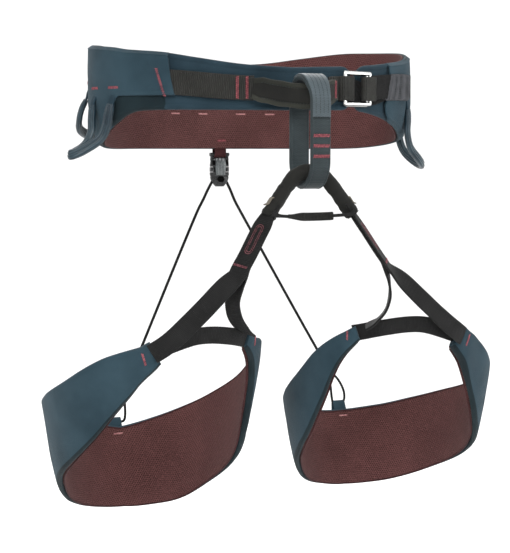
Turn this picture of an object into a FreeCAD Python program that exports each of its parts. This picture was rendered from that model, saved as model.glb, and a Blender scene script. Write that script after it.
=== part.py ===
import FreeCAD, Part
import math
import os

V = FreeCAD.Vector

# Sport climbing harness, worn pose. Millimetres and degrees.
# +X is the wearer's left, -Y is the front, +Z is up. The origin is the centre of the
# waist, level with the middle of the front waist webbing.
# A belt angle is 0 at the front centre, +90 at the wearer's left hip and 180 at the back.
# A leg angle is 0 at the front of the thigh, 90 on its outer side and 180 at the back.

# ---- driving dimensions: belt ----
WAIST_X, WAIST_Y = 138.5, 80.0  # half width and half depth inside the belt
LINER = (0.0, 1.2)  # each layer's two depths, counted outward from the wearer
FOAM = (1.35, 5.4)
SHELL = (5.55, 6.75)
WING = (1.0, 5.6)
WEBBING = (7.0, 8.8)
WEBBING_HEIGHT = 20.0
SPLIT = 170.0  # belt angle where the left half opens from the rest
SPLIT_GAP = 0.12  # degrees left free on each side of the split
HIP_SEAM = 44.0  # belt angle where the hip panels end at the front
WING_ENDS = (20.0, 27.0)  # belt angles of the two wing tips
STEP = 6.0  # degrees between the sections of a band

# belt angle, upper edge, lower edge
BELT_LEFT = [(0, 18, -17), (27, 21, -17), (45, 25, -24), (57, 28, -31), (73, 34, -39),
             (90, 38, -43), (115, 40, -47), (130, 40, -48), (147, 36, -48), (163, 31, -48),
             (180, 29, -48)]
BELT_RIGHT = [(0, 18, -17), (17, 20, -17), (33, 25, -17), (45, 29, -17), (57, 31, -18),
              (63, 32, -21), (70, 34, -27), (90, 37, -41), (105, 39, -46), (120, 40, -48),
              (147, 36, -48), (163, 31, -48), (180, 29, -48)]
WEBBING_MIDDLE = [(0, 0), (20, 1), (42, 5), (60, 6)]  # belt angle, height of the webbing

# ---- tie-in loop, belay loop and lower tie-in arch ----
# across, forward, height of the band's middle
TIE_IN = [(0, -119, -7), (8, -117, -6.6), (18, -109, -5), (28, -97, -2), (36, -89.5, 0),
          (40, -88.2, 0.3)]
TIE_IN_HEIGHT, TIE_IN_SLEEVE_HEIGHT = 17.0, 19.0
BELAY_Y = -119.0
BELAY_INNER, BELAY_OUTER = 18.5, 22.5  # radii of its two round ends
BELAY_TOP, BELAY_BOTTOM = 10.0, -80.0
BELAY_WIDTH = 17.0
NODE = V(64, -130, -142)  # where the left leg's straps meet the lower tie-in arch
ARCH = [V(-36, -121.5, -99), V(-11, -119, -66), V(11, -119, -66), V(36, -121.5, -99)]
ARCH_SLEEVE, ARCH_BORE, ARCH_CORE = 11.0, 8.2, 7.6  # diameters
STRAP_WIDTH, STRAP_THICK = 16.0, 2.0
NODE_ACROSS = V(0.6, 0.8, 0)  # width direction of the left leg's webbing at the node

# ---- buckle, in its own frame: across, height, and depth out of the belt ----
BUCKLE_ANGLE = 24.0
BUCKLE_HALF, BUCKLE_TALL = 16.5, 30.0
BUCKLE_WINDOW = (13.0, 11.0)
BUCKLE_DEPTH = (2.8, 4.8)
SLIDER_HALF, SLIDER_DEPTH = 4.5, (1.0, 2.5)
KEEPER = (43.0, 57.0)  # belt angles of the strap keeper

# ---- leg loops ----
LEG_X, LEG_Y = 109.0, -37.5  # the left thigh's centre
THIGH_X, THIGH_Y = 84.0, 87.0  # its half width and half depth inside the leg loop
THIGH_FORWARD = 9.0  # how far ahead of its centre the thigh is widest
LEG_TAPER = 0.17  # the thigh narrows by this much per millimetre below the upper edge
LEG_LINER, LEG_FOAM, LEG_SHELL = (0.0, 1.1), (1.25, 6.1), (6.25, 7.5)
# leg angle, upper edge, lower edge
LEG_EDGE = [(15, -195, -213), (30, -204, -243), (50, -220, -277), (70, -238, -301),
            (90, -252, -319), (114, -266, -337), (135, -279, -352), (155, -290, -362),
            (180, -297, -367), (200, -294, -363), (220, -285, -353), (240, -271, -333),
            (260, -254, -312), (275, -237, -292), (290, -217, -262), (303, -204, -230),
            (317, -194, -206)]
# leg angle, middle of the webbing that joins the pad's two ends over the thigh
CROSS = [(-43, -199.5), (-30, -195.5), (-15, -192.5), (-4, -193.5), (16, -203)]
CROSS_WIDTH = 14.0
# places, with the direction of the strap's width
OUTER_STRAP = [(V(66, -132.5, -144.5), V(0.6, 0.8, 0.15)), (V(79, -133, -156), V(0.68, 0.42, 0.55)),
               (V(94, -134, -170), V(0.68, 0.3, 0.62)), (V(108, -134.5, -182.5), V(0.68, 0.3, 0.62)),
               (V(119, -134.5, -192), V(0.66, 0.2, 0.68)), (V(127, -133.8, -198), V(0.62, 0.2, 0.72))]
INNER_STRAP = [(V(64, -129.5, -146), V(0.6, 0.8, 0)), (V(67, -129, -155), V(0.5, 0.85, 0)),
               (V(69, -127, -167), V(0.4, 0.9, 0.1)), (V(66.5, -125.5, -179), V(0.5, 0.8, 0.2)),
               (V(60, -122.5, -188), V(0.7, 0.6, 0.35))]

# ---- small parts ----
CORD = 2.6
CORD_ROUTE = [V(6.5, 86, -82), V(13, 87.5, -93), V(22, 88, -107), V(95, 71, -250), V(106.5, 65.5, -271)]
KNOT = V(109, 64.4, -276)
TAB_X, TAB_TOP, TAB_BOTTOM = 112.0, -285.0, -300.0
GEAR_TALL, GEAR_THICK = 8.0, 4.6
# gear loops of the left side: belt angle, depth outward from the wearer, height
GEAR_FRONT = [(65, 7.9, -5.5), (65.2, 9.9, -13), (65.8, 12, -22), (67, 14.5, -33), (70, 19, -45),
              (75, 28, -55), (81, 33, -59.5), (87, 29, -57), (91, 20, -49), (93, 14.5, -38),
              (94, 12, -26), (94.2, 9.9, -13), (94.2, 7.9, -5.5)]
GEAR_REAR = [(101, 7.9, 0), (101.2, 10, -7), (102.5, 14.5, -15), (105.5, 19, -24), (111, 22.5, -31.5),
             (121, 21, -36.5), (134, 18.5, -38.5), (146, 17, -36), (153, 14.5, -29), (157, 12, -19),
             (158.5, 10, -8), (159, 7.9, 0)]
# how each loop hangs: degrees further back, share of its span, of its reach outward and of its drop
GEAR_HANG = {"front": {"left": (-4.5, 1.12, 0.68, 1.05), "right": (2.0, 0.72, 1.0, 0.88)},
             "rear": {"left": (-0.5, 1.0, 1.0, 1.0), "right": (0.0, 1.0, 1.0, 1.0)}}
HAUL_LOOP = [(-19, 88.6, 4), (-19, 89.4, -10), (-17, 92, -26), (-9, 94, -38), (0, 94.6, -42),
             (9, 94, -38), (17, 92, -26), (19, 89.4, -10), (19, 88.6, 4)]


# ---- general geometry ----
def smooth(rows, t):
    """The values at t on a smooth curve through rows of (t, value, ...)."""
    last = len(rows) - 1
    i = min(max(sum(row[0] <= t for row in rows) - 1, 0), last - 1)
    a, b = rows[i], rows[i + 1]
    before, after = rows[max(i - 1, 0)], rows[min(i + 2, last)]
    span = b[0] - a[0]
    u = (t - a[0]) / span
    values = []
    for k in range(1, len(a)):
        slope_a = (b[k] - before[k]) / (b[0] - before[0]) * span
        slope_b = (after[k] - a[k]) / (after[0] - a[0]) * span
        values.append((2 * u**3 - 3 * u**2 + 1) * a[k] + (u**3 - 2 * u**2 + u) * slope_a
                      + (3 * u**2 - 2 * u**3) * b[k] + (u**3 - u**2) * slope_b)
    return values


def steps(start, stop, count):
    return [start + (stop - start) * i / count for i in range(count + 1)]


def loft(sections):
    """A closed solid through four-cornered sections."""
    return Part.makeLoft([Part.makePolygon([*corners, corners[0]]) for corners in sections], True)


def box(x, y, z):
    """A box from three (low, high) pairs."""
    return Part.makeBox(x[1] - x[0], y[1] - y[0], z[1] - z[0], V(x[0], y[0], z[0]))


def mirrored(shape):
    return shape.mirror(V(0, 0, 0), V(1, 0, 0))


def ribbon(points, across, width, thick, per_span=3):
    """A flat strap whose middle passes through points, with the width direction given at each."""
    rows = [(i, *p, *w) for i, (p, w) in enumerate(zip(points, across))]
    place = lambda t: V(*smooth(rows, t)[:3])
    sections = []
    for t in steps(0, len(points) - 1, per_span * (len(points) - 1)):
        middle = place(t)
        along = place(min(t + 0.05, len(points) - 1)) - place(max(t - 0.05, 0))
        wide = V(*smooth(rows, t)[3:])
        normal = along.cross(wide).normalize()
        wide = normal.cross(along).normalize() * (width / 2)
        normal = normal * (thick / 2)
        sections.append([middle + wide + normal, middle + wide - normal,
                         middle - wide - normal, middle - wide + normal])
    return loft(sections)


def route(points):
    """Straight runs joined by tangent arcs that are as large as the runs allow."""
    edges, start = [], points[0]
    for before, corner, after in zip(points, points[1:], points[2:]):
        back, ahead = (before - corner), (after - corner)
        reach = 0.45 * min(back.Length, ahead.Length)
        turn = math.pi - back.getAngle(ahead)
        radius = reach / math.tan(turn / 2)
        back, ahead = back.normalize(), ahead.normalize()
        bisector = (back + ahead).normalize()
        centre = corner + bisector * math.hypot(radius, reach)
        enter, leave = corner + back * reach, corner + ahead * reach
        edges += [Part.LineSegment(start, enter).toShape(),
                  Part.Arc(enter, centre - bisector * radius, leave).toShape()]
        start = leave
        print(f"arc radius {radius:.1f}")
    edges.append(Part.LineSegment(start, points[-1]).toShape())
    return Part.Wire(edges)


def tube(points, diameter):
    """A round tube along a route."""
    wire = route(points)
    circle = Part.Wire([Part.makeCircle(diameter / 2, points[0], points[1] - points[0])])
    solid = wire.makePipeShell([circle], True, True)
    ideal = math.pi * diameter**2 / 4 * wire.Length
    print(f"tube volume over section times length {solid.Volume / ideal:.4f}")
    return solid


# ---- belt ----
def belt_point(angle, z, depth):
    t = math.radians(angle)
    return V((WAIST_X + depth) * math.sin(t), -(WAIST_Y + depth) * math.cos(t), z)


def belt_edge(angle):
    """Upper and lower edge of the belt at an angle, on either side."""
    angle = (angle + 180) % 360 - 180
    return smooth(BELT_RIGHT if angle < 0 else BELT_LEFT, abs(angle))


def wing_edge(angle):
    """Edges of a front wing, rounded off towards its tip."""
    top, bottom = belt_edge(angle)
    tip = WING_ENDS[0] if angle < sum(WING_ENDS) / 2 else WING_ENDS[1]
    rounding = 5 * max(0, 1 - abs(angle - tip) / 4) ** 2
    return top - rounding, max(bottom, -17) + rounding


def webbing_edge(angle):
    middle = smooth(WEBBING_MIDDLE, min(abs(angle), 60))[0]
    return middle + WEBBING_HEIGHT / 2, middle - WEBBING_HEIGHT / 2


def belt_band(start, stop, depths, edge, step=STEP):
    """A curved plate between two belt angles and two depths."""
    sections = []
    for angle in steps(start, stop, max(2, round(abs(stop - start) / step))):
        top, bottom = edge(angle)
        low, high = depths
        sections.append([belt_point(angle, top, low), belt_point(angle, top, high),
                         belt_point(angle, bottom, high), belt_point(angle, bottom, low)])
    return loft(sections)


def on_belt(shape, angle, z, depth):
    """Moves a shape made at the origin, facing -Y, to a place on the belt."""
    t = math.radians(angle)
    heading = math.atan2((WAIST_Y + depth) * math.sin(t), (WAIST_X + depth) * math.cos(t))
    shape.rotate(V(0, 0, 0), V(0, 0, 1), math.degrees(heading))
    shape.translate(belt_point(angle, z, depth))
    return shape


def right_half(depths):
    return belt_band(SPLIT - 360 + SPLIT_GAP, -HIP_SEAM, depths, belt_edge)


def left_half(depths):
    return belt_band(HIP_SEAM, SPLIT - SPLIT_GAP, depths, belt_edge)


def front_wing_right():
    return belt_band(-HIP_SEAM + 0.3, WING_ENDS[0], WING, wing_edge, 2.5)


def front_wing_left():
    return belt_band(WING_ENDS[1], HIP_SEAM - 0.3, WING, wing_edge, 2.5)


def waist_webbing():
    return belt_band(-HIP_SEAM + 0.5, -14.5, WEBBING, webbing_edge)


# ---- tie-in loop and belay loop ----
def tie_in_band(low, high, height, reach):
    """A strip of the tie-in loop between two depths, reaching this far to each side."""
    rows = [(-x, y, z) for x, y, z in TIE_IN[:0:-1]] + TIE_IN
    sections = []
    for x in steps(-reach, reach, 20):
        y, z = smooth(rows, x)
        ahead, behind = smooth(rows, min(x + 0.5, 40)), smooth(rows, max(x - 0.5, -40))
        slope = math.atan2(ahead[0] - behind[0], 1.0)
        out = V(math.sin(slope), -math.cos(slope), 0)
        up = V(0, 0, height / 2)
        inner, outer = V(x, y, z) + out * low, V(x, y, z) + out * high
        sections.append([inner + up, outer + up, outer - up, inner - up])
    return loft(sections)


def racetrack(radius, top, bottom, width):
    """A solid with round ends in the YZ plane, centred on X."""
    high, low = top - radius, bottom + radius
    edges = [Part.LineSegment(V(0, radius, low), V(0, radius, high)),
             Part.Arc(V(0, radius, high), V(0, 0, top), V(0, -radius, high)),
             Part.LineSegment(V(0, -radius, high), V(0, -radius, low)),
             Part.Arc(V(0, -radius, low), V(0, 0, bottom), V(0, radius, low))]
    face = Part.Face(Part.Wire([edge.toShape() for edge in edges]))
    solid = face.extrude(V(width, 0, 0))
    solid.translate(V(-width / 2, BELAY_Y, 0))
    return solid


def belay_loop_webbing():
    thick = BELAY_OUTER - BELAY_INNER
    outer = racetrack(BELAY_OUTER, BELAY_TOP, BELAY_BOTTOM, BELAY_WIDTH)
    return outer.cut(racetrack(BELAY_INNER, BELAY_TOP - thick, BELAY_BOTTOM + thick, BELAY_WIDTH + 2))


def belay_loop_bartacks():
    front = BELAY_Y - BELAY_OUTER
    rows = [box((-7, 7), (front - 0.7, front), (z - 1.2, z + 1.2)) for z in (-38, -46, -54)]
    return Part.makeCompound(rows)


# ---- lower tie-in arch ----
def lower_tie_in_sleeve():
    return tube(ARCH, ARCH_SLEEVE).cut(tube(ARCH, ARCH_BORE))


def leg_link_webbing():
    """The flat webbing from each end of the arch's sleeve to the leg straps."""
    points = [V(37, -121.8, -100.5), V(46, -124.5, -114), V(56, -127.8, -130), NODE]
    link = ribbon(points, [NODE_ACROSS] * 4, STRAP_WIDTH, 3.0)
    return Part.makeCompound([link, mirrored(link)])


def cross_strap():
    return ribbon([V(-34, -130.2, -100.5), V(0, -130.5, -101.5), V(34, -130.2, -100.5)],
                  [V(0, 0, 1)] * 3, 3.0, 1.6)


def cross_strap_sleeve():
    outer = ribbon([V(-20, -130.4, -101.3), V(-3, -130.5, -101.6), V(14, -130.4, -101.3)],
                   [V(0, 0, 1)] * 3, 6.4, 3.6)
    inner = ribbon([V(-21, -130.4, -101.3), V(-3, -130.5, -101.6), V(15, -130.4, -101.3)],
                   [V(0, 0, 1)] * 3, 3.8, 2.2)
    return outer.cut(inner)


# ---- waist buckle ----
def in_buckle(across, height, depth):
    """A box in the buckle's own frame, moved to its place."""
    solid = box(across, (-depth[1], -depth[0]), height)
    return on_belt(solid, BUCKLE_ANGLE, smooth(WEBBING_MIDDLE, BUCKLE_ANGLE)[0], WEBBING[0])


def buckle_frame():
    half, window, tall = BUCKLE_HALF, BUCKLE_WINDOW, BUCKLE_TALL / 2
    plate = in_buckle((-half, half), (-tall, tall), BUCKLE_DEPTH)
    hole = in_buckle((-window[0], window[0]), (-window[1], window[1]), (0, 9))
    upright = [edge for edge in plate.Edges if abs(edge.tangentAt(0).z) < 0.1 and edge.Length < 3]
    return plate.makeFillet(0.9, upright).cut(hole)


def buckle_slider():
    return in_buckle((-SLIDER_HALF, SLIDER_HALF), (-16, 15), SLIDER_DEPTH)


def strap_ring(side):
    """Webbing folded round one end bar of the buckle. side is -1 or 1."""
    ends = sorted((side * 5.6, side * 18.8))
    inner = sorted((side * 7.4, side * 17.0))
    half = WEBBING_HEIGHT / 2
    return in_buckle(ends, (-half, half), (0.7, 6.8)).cut(in_buckle(inner, (-12, 12), (2.5, 5.1)))


def buckle_webbing():
    half = WEBBING_HEIGHT / 2
    return strap_ring(-1).fuse(in_buckle((-20.8, -17.5), (-half, half), (0.7, 2.5)))


def adjust_strap():
    """The ring round the buckle, the run to the hip under it and the free tail on top."""
    under = belt_band(30.5, HIP_SEAM + 12, (7.2, 8.9), webbing_edge, 4)
    rows = [(30.3, 12.9), (34, 12.0), (39, 10.0), (43, 9.4), (62, 9.4)]
    sections = []
    for angle in steps(30.3, 61, 14):
        top, bottom = webbing_edge(angle)
        low = smooth(rows, angle)[0]
        sections.append([belt_point(angle, top, low), belt_point(angle, top, low + 1.7),
                         belt_point(angle, bottom, low + 1.7), belt_point(angle, bottom, low)])
    return Part.makeCompound([strap_ring(1), under, loft(sections)])


def strap_keeper():
    edge = lambda angle: [z + grow for z, grow in zip(webbing_edge(angle), (2.6, -2.6))]
    hollow = lambda angle: [z + grow for z, grow in zip(webbing_edge(angle), (0.9, -0.9))]
    outer = belt_band(*KEEPER, (7.5, 13.0), edge, 3)
    return outer.cut(belt_band(KEEPER[0] - 2, KEEPER[1] + 2, (6.0, 11.9), hollow, 3))


# ---- loops on the belt ----
def widths_facing(points, outward):
    """Width directions for a strap through points, whose flat side faces a direction at each."""
    ends = zip([points[0], *points[:-1]], [*points[1:], points[-1]], outward)
    return [(after - before).cross(out).normalize() for before, after, out in ends]


def gear_loop(rows, turn, span, reach, drop):
    """The webbing core of a left gear loop, and the moulded sleeve over it."""
    first, base, top = rows[0]
    points = [belt_point(first + (angle - first) * span + turn, top + (z - top) * drop,
                         base + (depth - base) * reach) for angle, depth, z in rows]
    across = widths_facing(points, [V(p.x / WAIST_X**2, p.y / WAIST_Y**2, 0) for p in points])
    core = ribbon(points, across, 5.4, 1.5)
    sleeve = ribbon(points[1:-1], across[1:-1], GEAR_TALL, GEAR_THICK)
    return core, sleeve.cut(ribbon(points, across, 5.8, 1.9))


def haul_loop():
    points = [V(*row) for row in HAUL_LOOP]
    return ribbon(points, widths_facing(points, [V(0, 1, 0)] * len(points)), 7.0, 2.0)


# ---- riser buckle and cords ----
def riser_tab():
    """Webbing folded through the socket's upper bar, sewn to the belt at its two open ends."""
    return box((-6, 6), (81.6, 89.8), (-57.6, -48.4)).cut(box((-7, 7), (83.2, 88.2), (-56, -47)))


def riser_buckle_socket():
    body = box((-8.5, 8.5), (82, 89.5), (-73, -61))
    hollow = box((-6.4, 6.4), (83.8, 87.7), (-74, -63))
    windows = box((-9, 9), (84.3, 87.2), (-70.5, -65.5))
    loop = box((-8.5, 8.5), (83.4, 88.0), (-61, -52.5)).cut(box((-6.5, 6.5), (82, 90), (-58.8, -54.5)))
    return body.cut(hollow).cut(windows).fuse(loop)


def riser_buckle_plug():
    base = box((-7.6, 7.6), (82.6, 89), (-82, -73.5))
    mouth = box((-3.6, 3.6), (81, 84.2), (-80, -75))
    guide = box((-1.1, 1.1), (84.6, 87.1), (-73.5, -64.2))
    return base.cut(mouth).fuse(guide)


def riser_prong():
    """The left prong of the riser buckle's plug, with its thumb pad in the window."""
    arm = box((4.0, 5.6), (84.6, 87.0), (-73.3, -66.6))
    pad = box((5.6, 7.8), (84.7, 86.9), (-70.0, -66.6))
    return arm.fuse(pad)


def knot():
    ball = Part.makeSphere(3.4, KNOT)
    loop = Part.makeTorus(4.2, 1.2, KNOT + V(1.5, -2.2, -9.2), V(0, 1, 0))
    return ball.fuse(loop)


# ---- leg loops ----
def leg_point(angle, z, depth, top):
    """A point on the left leg loop; top is the height of the loop's upper edge there."""
    t = math.radians(angle)
    grow = depth - LEG_TAPER * (top - z)
    return V(LEG_X + (THIGH_X + grow) * math.sin(t),
             LEG_Y - (THIGH_Y + grow) * math.cos(t) - THIGH_FORWARD * math.sin(t) ** 2, z)


def leg_band(start, stop, depths, edge, count):
    """A curved plate round the left thigh."""
    sections = []
    for angle in steps(start, stop, count):
        top, bottom = edge(angle)
        low, high = depths
        sections.append([leg_point(angle, top, low, top), leg_point(angle, top, high, top),
                         leg_point(angle, bottom, high, top), leg_point(angle, bottom, low, top)])
    return loft(sections)


def leg_layer(depths):
    edge = lambda angle: smooth(LEG_EDGE, angle)
    return leg_band(LEG_EDGE[0][0], LEG_EDGE[-1][0], depths, edge, 40)


def cross_webbing():
    """The webbing over the front of the thigh, ending outside the pad's two ends."""
    def edge(angle):
        middle = smooth(CROSS, angle)[0]
        return middle + CROSS_WIDTH / 2, middle - CROSS_WIDTH / 2
    return leg_band(CROSS[0][0] + 2.6, CROSS[-1][0] - 6.5, (1.5, 3.5), edge, 12)


def strap(rows):
    points, across = zip(*rows)
    return ribbon(points, across, STRAP_WIDTH, STRAP_THICK)


def leg_tab():
    return ribbon([V(TAB_X, 59.6, TAB_TOP), V(TAB_X, 58.6, -292), V(TAB_X, 58.4, TAB_BOTTOM)],
                  [V(1, 0, 0)] * 3, 13, 1.6)


def leg_bartacks():
    """Sewn blocks on the two ends of the left leg's pad and on its riser tab."""
    patches = []
    for angle, z, half_angle, tall in ((20, -206, 1.2, 14), (-46.6, -200, 1.0, 8)):
        edge = lambda a, z=z, tall=tall: (z + tall / 2, z - tall / 2)
        patches.append(leg_band(angle - half_angle, angle + half_angle, (7.8, 8.6), edge, 2))
    patches.append(box((TAB_X - 4.5, TAB_X + 4.5), (59.4, 60.0), (-298, -296)))
    return Part.makeCompound(patches)


def belt_bartacks():
    """Sewn blocks on the belt's right half and on the front webbing."""
    bar = lambda angle, top, bottom: belt_band(angle - 1.0, angle + 1.0, (8.9, 9.6),
                                               lambda a: (top, bottom), 1)
    return Part.makeCompound([bar(-19, 9.5, -8), bar(-16, 9.5, -8)])


# ---- the whole harness ----
def both_sides(name, left_shape):
    return {f"{name}_left": left_shape, f"{name}_right": mirrored(left_shape)}


def build():
    nodes = {
        "belt_shell_right": right_half(SHELL),
        "belt_foam_right": right_half(FOAM),
        "belt_liner_right": right_half(LINER),
        "belt_shell_left": left_half(SHELL),
        "belt_foam_left": left_half(FOAM),
        "belt_liner_left": left_half(LINER),
        "front_wing_right": front_wing_right(),
        "front_wing_left": front_wing_left(),
        "waist_webbing": waist_webbing(),
        "tie_in_webbing": tie_in_band(-1.6, 0.2, TIE_IN_HEIGHT, 37.0),
        "tie_in_sleeve": tie_in_band(0.3, 1.5, TIE_IN_SLEEVE_HEIGHT, 35.5),
        "belay_loop_webbing": belay_loop_webbing(),
        "belay_loop_bartacks": belay_loop_bartacks(),
        "lower_tie_in_webbing": tube(ARCH, ARCH_CORE),
        "lower_tie_in_sleeve": lower_tie_in_sleeve(),
        "leg_link_webbing": leg_link_webbing(),
        "cross_strap": cross_strap(),
        "cross_strap_sleeve": cross_strap_sleeve(),
        "buckle_frame": buckle_frame(),
        "buckle_slider": buckle_slider(),
        "buckle_webbing": buckle_webbing(),
        "adjust_strap": adjust_strap(),
        "strap_keeper": strap_keeper(),
        "belt_bartacks": belt_bartacks(),
        "haul_loop": haul_loop(),
        "riser_tab": riser_tab(),
        "riser_buckle_socket": riser_buckle_socket(),
        "riser_buckle_plug": riser_buckle_plug(),
    }
    nodes |= both_sides("riser_prong", riser_prong())
    nodes |= both_sides("riser_cord", tube(CORD_ROUTE, CORD))
    nodes |= both_sides("cord_knot", knot())
    for place, rows in (("front", GEAR_FRONT), ("rear", GEAR_REAR)):
        for side, hang in GEAR_HANG[place].items():
            finish = mirrored if side == "right" else Part.Shape.copy
            core, sleeve = gear_loop(rows, *hang)
            nodes[f"{place}_gear_loop_core_{side}"] = finish(core)
            nodes[f"{place}_gear_loop_{side}"] = finish(sleeve)
    nodes |= both_sides("leg_shell", leg_layer(LEG_SHELL))
    nodes |= both_sides("leg_foam", leg_layer(LEG_FOAM))
    nodes |= both_sides("leg_liner", leg_layer(LEG_LINER))
    nodes |= both_sides("leg_cross_webbing", cross_webbing())
    nodes |= both_sides("outer_leg_strap", strap(OUTER_STRAP))
    nodes |= both_sides("inner_leg_strap", strap(INNER_STRAP))
    nodes |= both_sides("leg_tab", leg_tab())
    nodes |= both_sides("leg_bartacks", leg_bartacks())
    return nodes


os.makedirs("parts", exist_ok=True)
for node, shape in build().items():
    if not shape.isValid():
        print(f"{node} is not a valid shape")
    shape.exportStep(f"parts/{node}.step")
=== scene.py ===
import math

import bmesh
import bpy
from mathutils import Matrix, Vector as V, noise


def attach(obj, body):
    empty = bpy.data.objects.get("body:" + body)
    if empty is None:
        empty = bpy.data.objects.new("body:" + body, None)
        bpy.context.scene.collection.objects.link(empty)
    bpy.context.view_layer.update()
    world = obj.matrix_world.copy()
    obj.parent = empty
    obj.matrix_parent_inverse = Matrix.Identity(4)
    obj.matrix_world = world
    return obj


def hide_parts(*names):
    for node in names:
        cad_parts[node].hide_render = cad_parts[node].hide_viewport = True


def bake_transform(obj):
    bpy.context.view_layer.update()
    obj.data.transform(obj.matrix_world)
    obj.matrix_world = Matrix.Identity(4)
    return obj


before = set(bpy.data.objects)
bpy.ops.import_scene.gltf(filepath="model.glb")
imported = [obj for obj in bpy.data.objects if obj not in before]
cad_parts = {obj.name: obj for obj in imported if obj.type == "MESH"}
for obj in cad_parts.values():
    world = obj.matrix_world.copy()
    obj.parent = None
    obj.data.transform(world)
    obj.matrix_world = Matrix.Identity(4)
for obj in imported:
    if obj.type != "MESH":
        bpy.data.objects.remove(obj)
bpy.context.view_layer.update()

# The harness's looks. Lengths are in millimetres until a mesh is made, and angles in degrees.
# A belt angle is 0 at the front centre, +90 at the wearer's left hip and 180 at the back.
# A leg angle is 0 at the front of the thigh, 90 on its outer side and 180 at the back.
MM = 0.001
SIDEWAYS, BACKWARD, UP = V((1, 0, 0)), V((0, 1, 0)), V((0, 0, 1))

# ---- the harness's own lines, as in its solids ----
WAIST_X, WAIST_Y = 138.5, 80.0
HIP_SEAM = 44.0
WING_ENDS = (23.0, 24.8)
# belt angle, upper edge, lower edge
BELT_LEFT = [(0, 18, -17), (27, 21, -17), (45, 25, -24), (57, 28, -31), (73, 34, -39),
             (90, 38, -43), (115, 40, -47), (130, 40, -48), (147, 36, -48), (163, 31, -48),
             (180, 29, -48)]
BELT_RIGHT = [(0, 18, -17), (17, 20, -17), (33, 25, -17), (45, 29, -17), (57, 31, -18),
              (63, 32, -21), (70, 34, -27), (90, 37, -41), (105, 39, -46), (120, 40, -48),
              (147, 36, -48), (163, 31, -48), (180, 29, -48)]
WEBBING_MIDDLE = [(0, 0), (20, 1), (42, 5), (60, 6)]
TIE_IN = [(0, -119, -7), (8, -117, -6.6), (18, -109, -5), (28, -97, -2), (36, -89.5, 0),
          (40, -88.2, 0.3)]
BELAY_Y, BELAY_MIDDLE = -119.0, 20.5
BELAY_HIGH, BELAY_LOW = -12.5, -57.5  # centres of its two round ends
NODE = V((64, -130, -142))
NODE_ACROSS = V((0.6, 0.8, 0))
BUCKLE_ANGLE = 24.0
KEEPER = (43.0, 57.0)
LEG_X, LEG_Y = 109.0, -37.5
THIGH_X, THIGH_Y, THIGH_FORWARD = 84.0, 87.0, 9.0
THIGH_ROUND = 92  # a middling radius of the leg loop
LEG_TAPER = 0.17
LEG_EDGE = [(15, -195, -213), (30, -204, -243), (50, -220, -277), (70, -238, -301),
            (90, -252, -319), (114, -266, -337), (135, -279, -352), (155, -290, -362),
            (180, -297, -367), (200, -294, -363), (220, -285, -353), (240, -271, -333),
            (260, -254, -312), (275, -237, -292), (290, -217, -262), (303, -204, -230),
            (317, -194, -206)]
CROSS = [(-47, -200.5), (-43, -199.5), (-30, -195.5), (-15, -192.5), (-4, -193.5), (16, -203),
         (20, -205)]
OUTER_STRAP = [((60, -128.6, -136), (0.6, 0.8, 0)), ((66, -132.5, -144.5), (0.6, 0.8, 0.15)),
               ((79, -133, -156), (0.68, 0.42, 0.55)), ((94, -134, -170), (0.68, 0.3, 0.62)),
               ((108, -134.5, -182.5), (0.68, 0.3, 0.62)), ((119, -134.5, -192), (0.66, 0.2, 0.68)),
               ((127, -133.8, -198), (0.62, 0.2, 0.72)), ((136, -130.6, -204), (0.6, 0.2, 0.74))]
INNER_STRAP = [((60.5, -128.0, -136), (0.6, 0.8, 0)), ((64, -129.5, -146), (0.6, 0.8, 0)),
               ((67, -129, -155), (0.5, 0.85, 0)), ((69, -127, -167), (0.4, 0.9, 0.1)),
               ((66.5, -125.5, -179), (0.5, 0.8, 0.2)), ((60, -122.5, -188), (0.7, 0.6, 0.35)),
               ((52, -117.5, -194), (0.75, 0.45, 0.45))]
CORD = 2.6  # thickness of the riser cords
# a cord's points below the buckle, then those above its knot, from the knot
CORD_ROUTE = [(5.6, 85.9, -76), (10.8, 86.6, -85), (15.6, 87.7, -96), (22, 88, -107)]
KNOT = {"left": V((105.2, 65.3, -261.5)), "right": V((101.2, 65.0, -270))}
CORD_ABOVE_KNOT = [(-9.9, 6.6, 19.5), (-1.8, 1.4, 4.4)]
CORD_BEND = [(14, 87.4, -93), (98, 71, -242)]  # where it follows the belt and where the leg
# the cloth tab at the back of a leg loop, folded over the riser loop
LEG_TAB = [(112, 52, -303), (112, 55, -297), (112, 58.2, -291.5), (112, 60.2, -290.2),
           (112, 61.6, -292.5), (112, 60.8, -302)]
# gear loops as belt angle, depth and height
GEAR_FRONT = [(65, 6.0, -4), (65, 7.9, -5.5), (65.2, 9.9, -13), (65.8, 12, -22), (67, 14.5, -33),
              (70, 19, -45), (75, 28, -55), (81, 33, -59.5), (87, 29, -57), (91, 20, -49),
              (93, 14.5, -38), (94, 12, -26), (94.2, 9.9, -13), (94.2, 7.9, -5.5), (94.2, 6.0, -4)]
GEAR_REAR = [(101, 6.0, 1.5), (101, 7.9, 0), (101.2, 10, -7), (102.5, 14.5, -15), (105.5, 19, -24),
             (111, 22.5, -31.5), (121, 21, -36.5), (134, 18.5, -38.5), (146, 17, -36),
             (153, 14.5, -29), (157, 12, -19), (158.5, 10, -8), (159, 7.9, 0), (159, 6.0, 1.5)]
# how each loop hangs: degrees further back, share of its span, of its reach outward and of its drop
GEAR_HANG = {"front": {"left": (-4.5, 1.12, 0.78, 1.05), "right": (3.4, 0.5, 1.42, 0.88)},
             "rear": {"left": (-0.5, 1.0, 1.0, 1.0), "right": (0.0, 1.0, 1.0, 1.0)}}
GEAR_TACKS = {"front": (65, 94.2, 1.5), "rear": (101, 159, 7)}  # first and last angle, height
HIP_LEAN = 6.5  # how far the belt's lower edge leans in at the hips
RIB = 1.45  # spacing of the ribs on webbing


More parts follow.
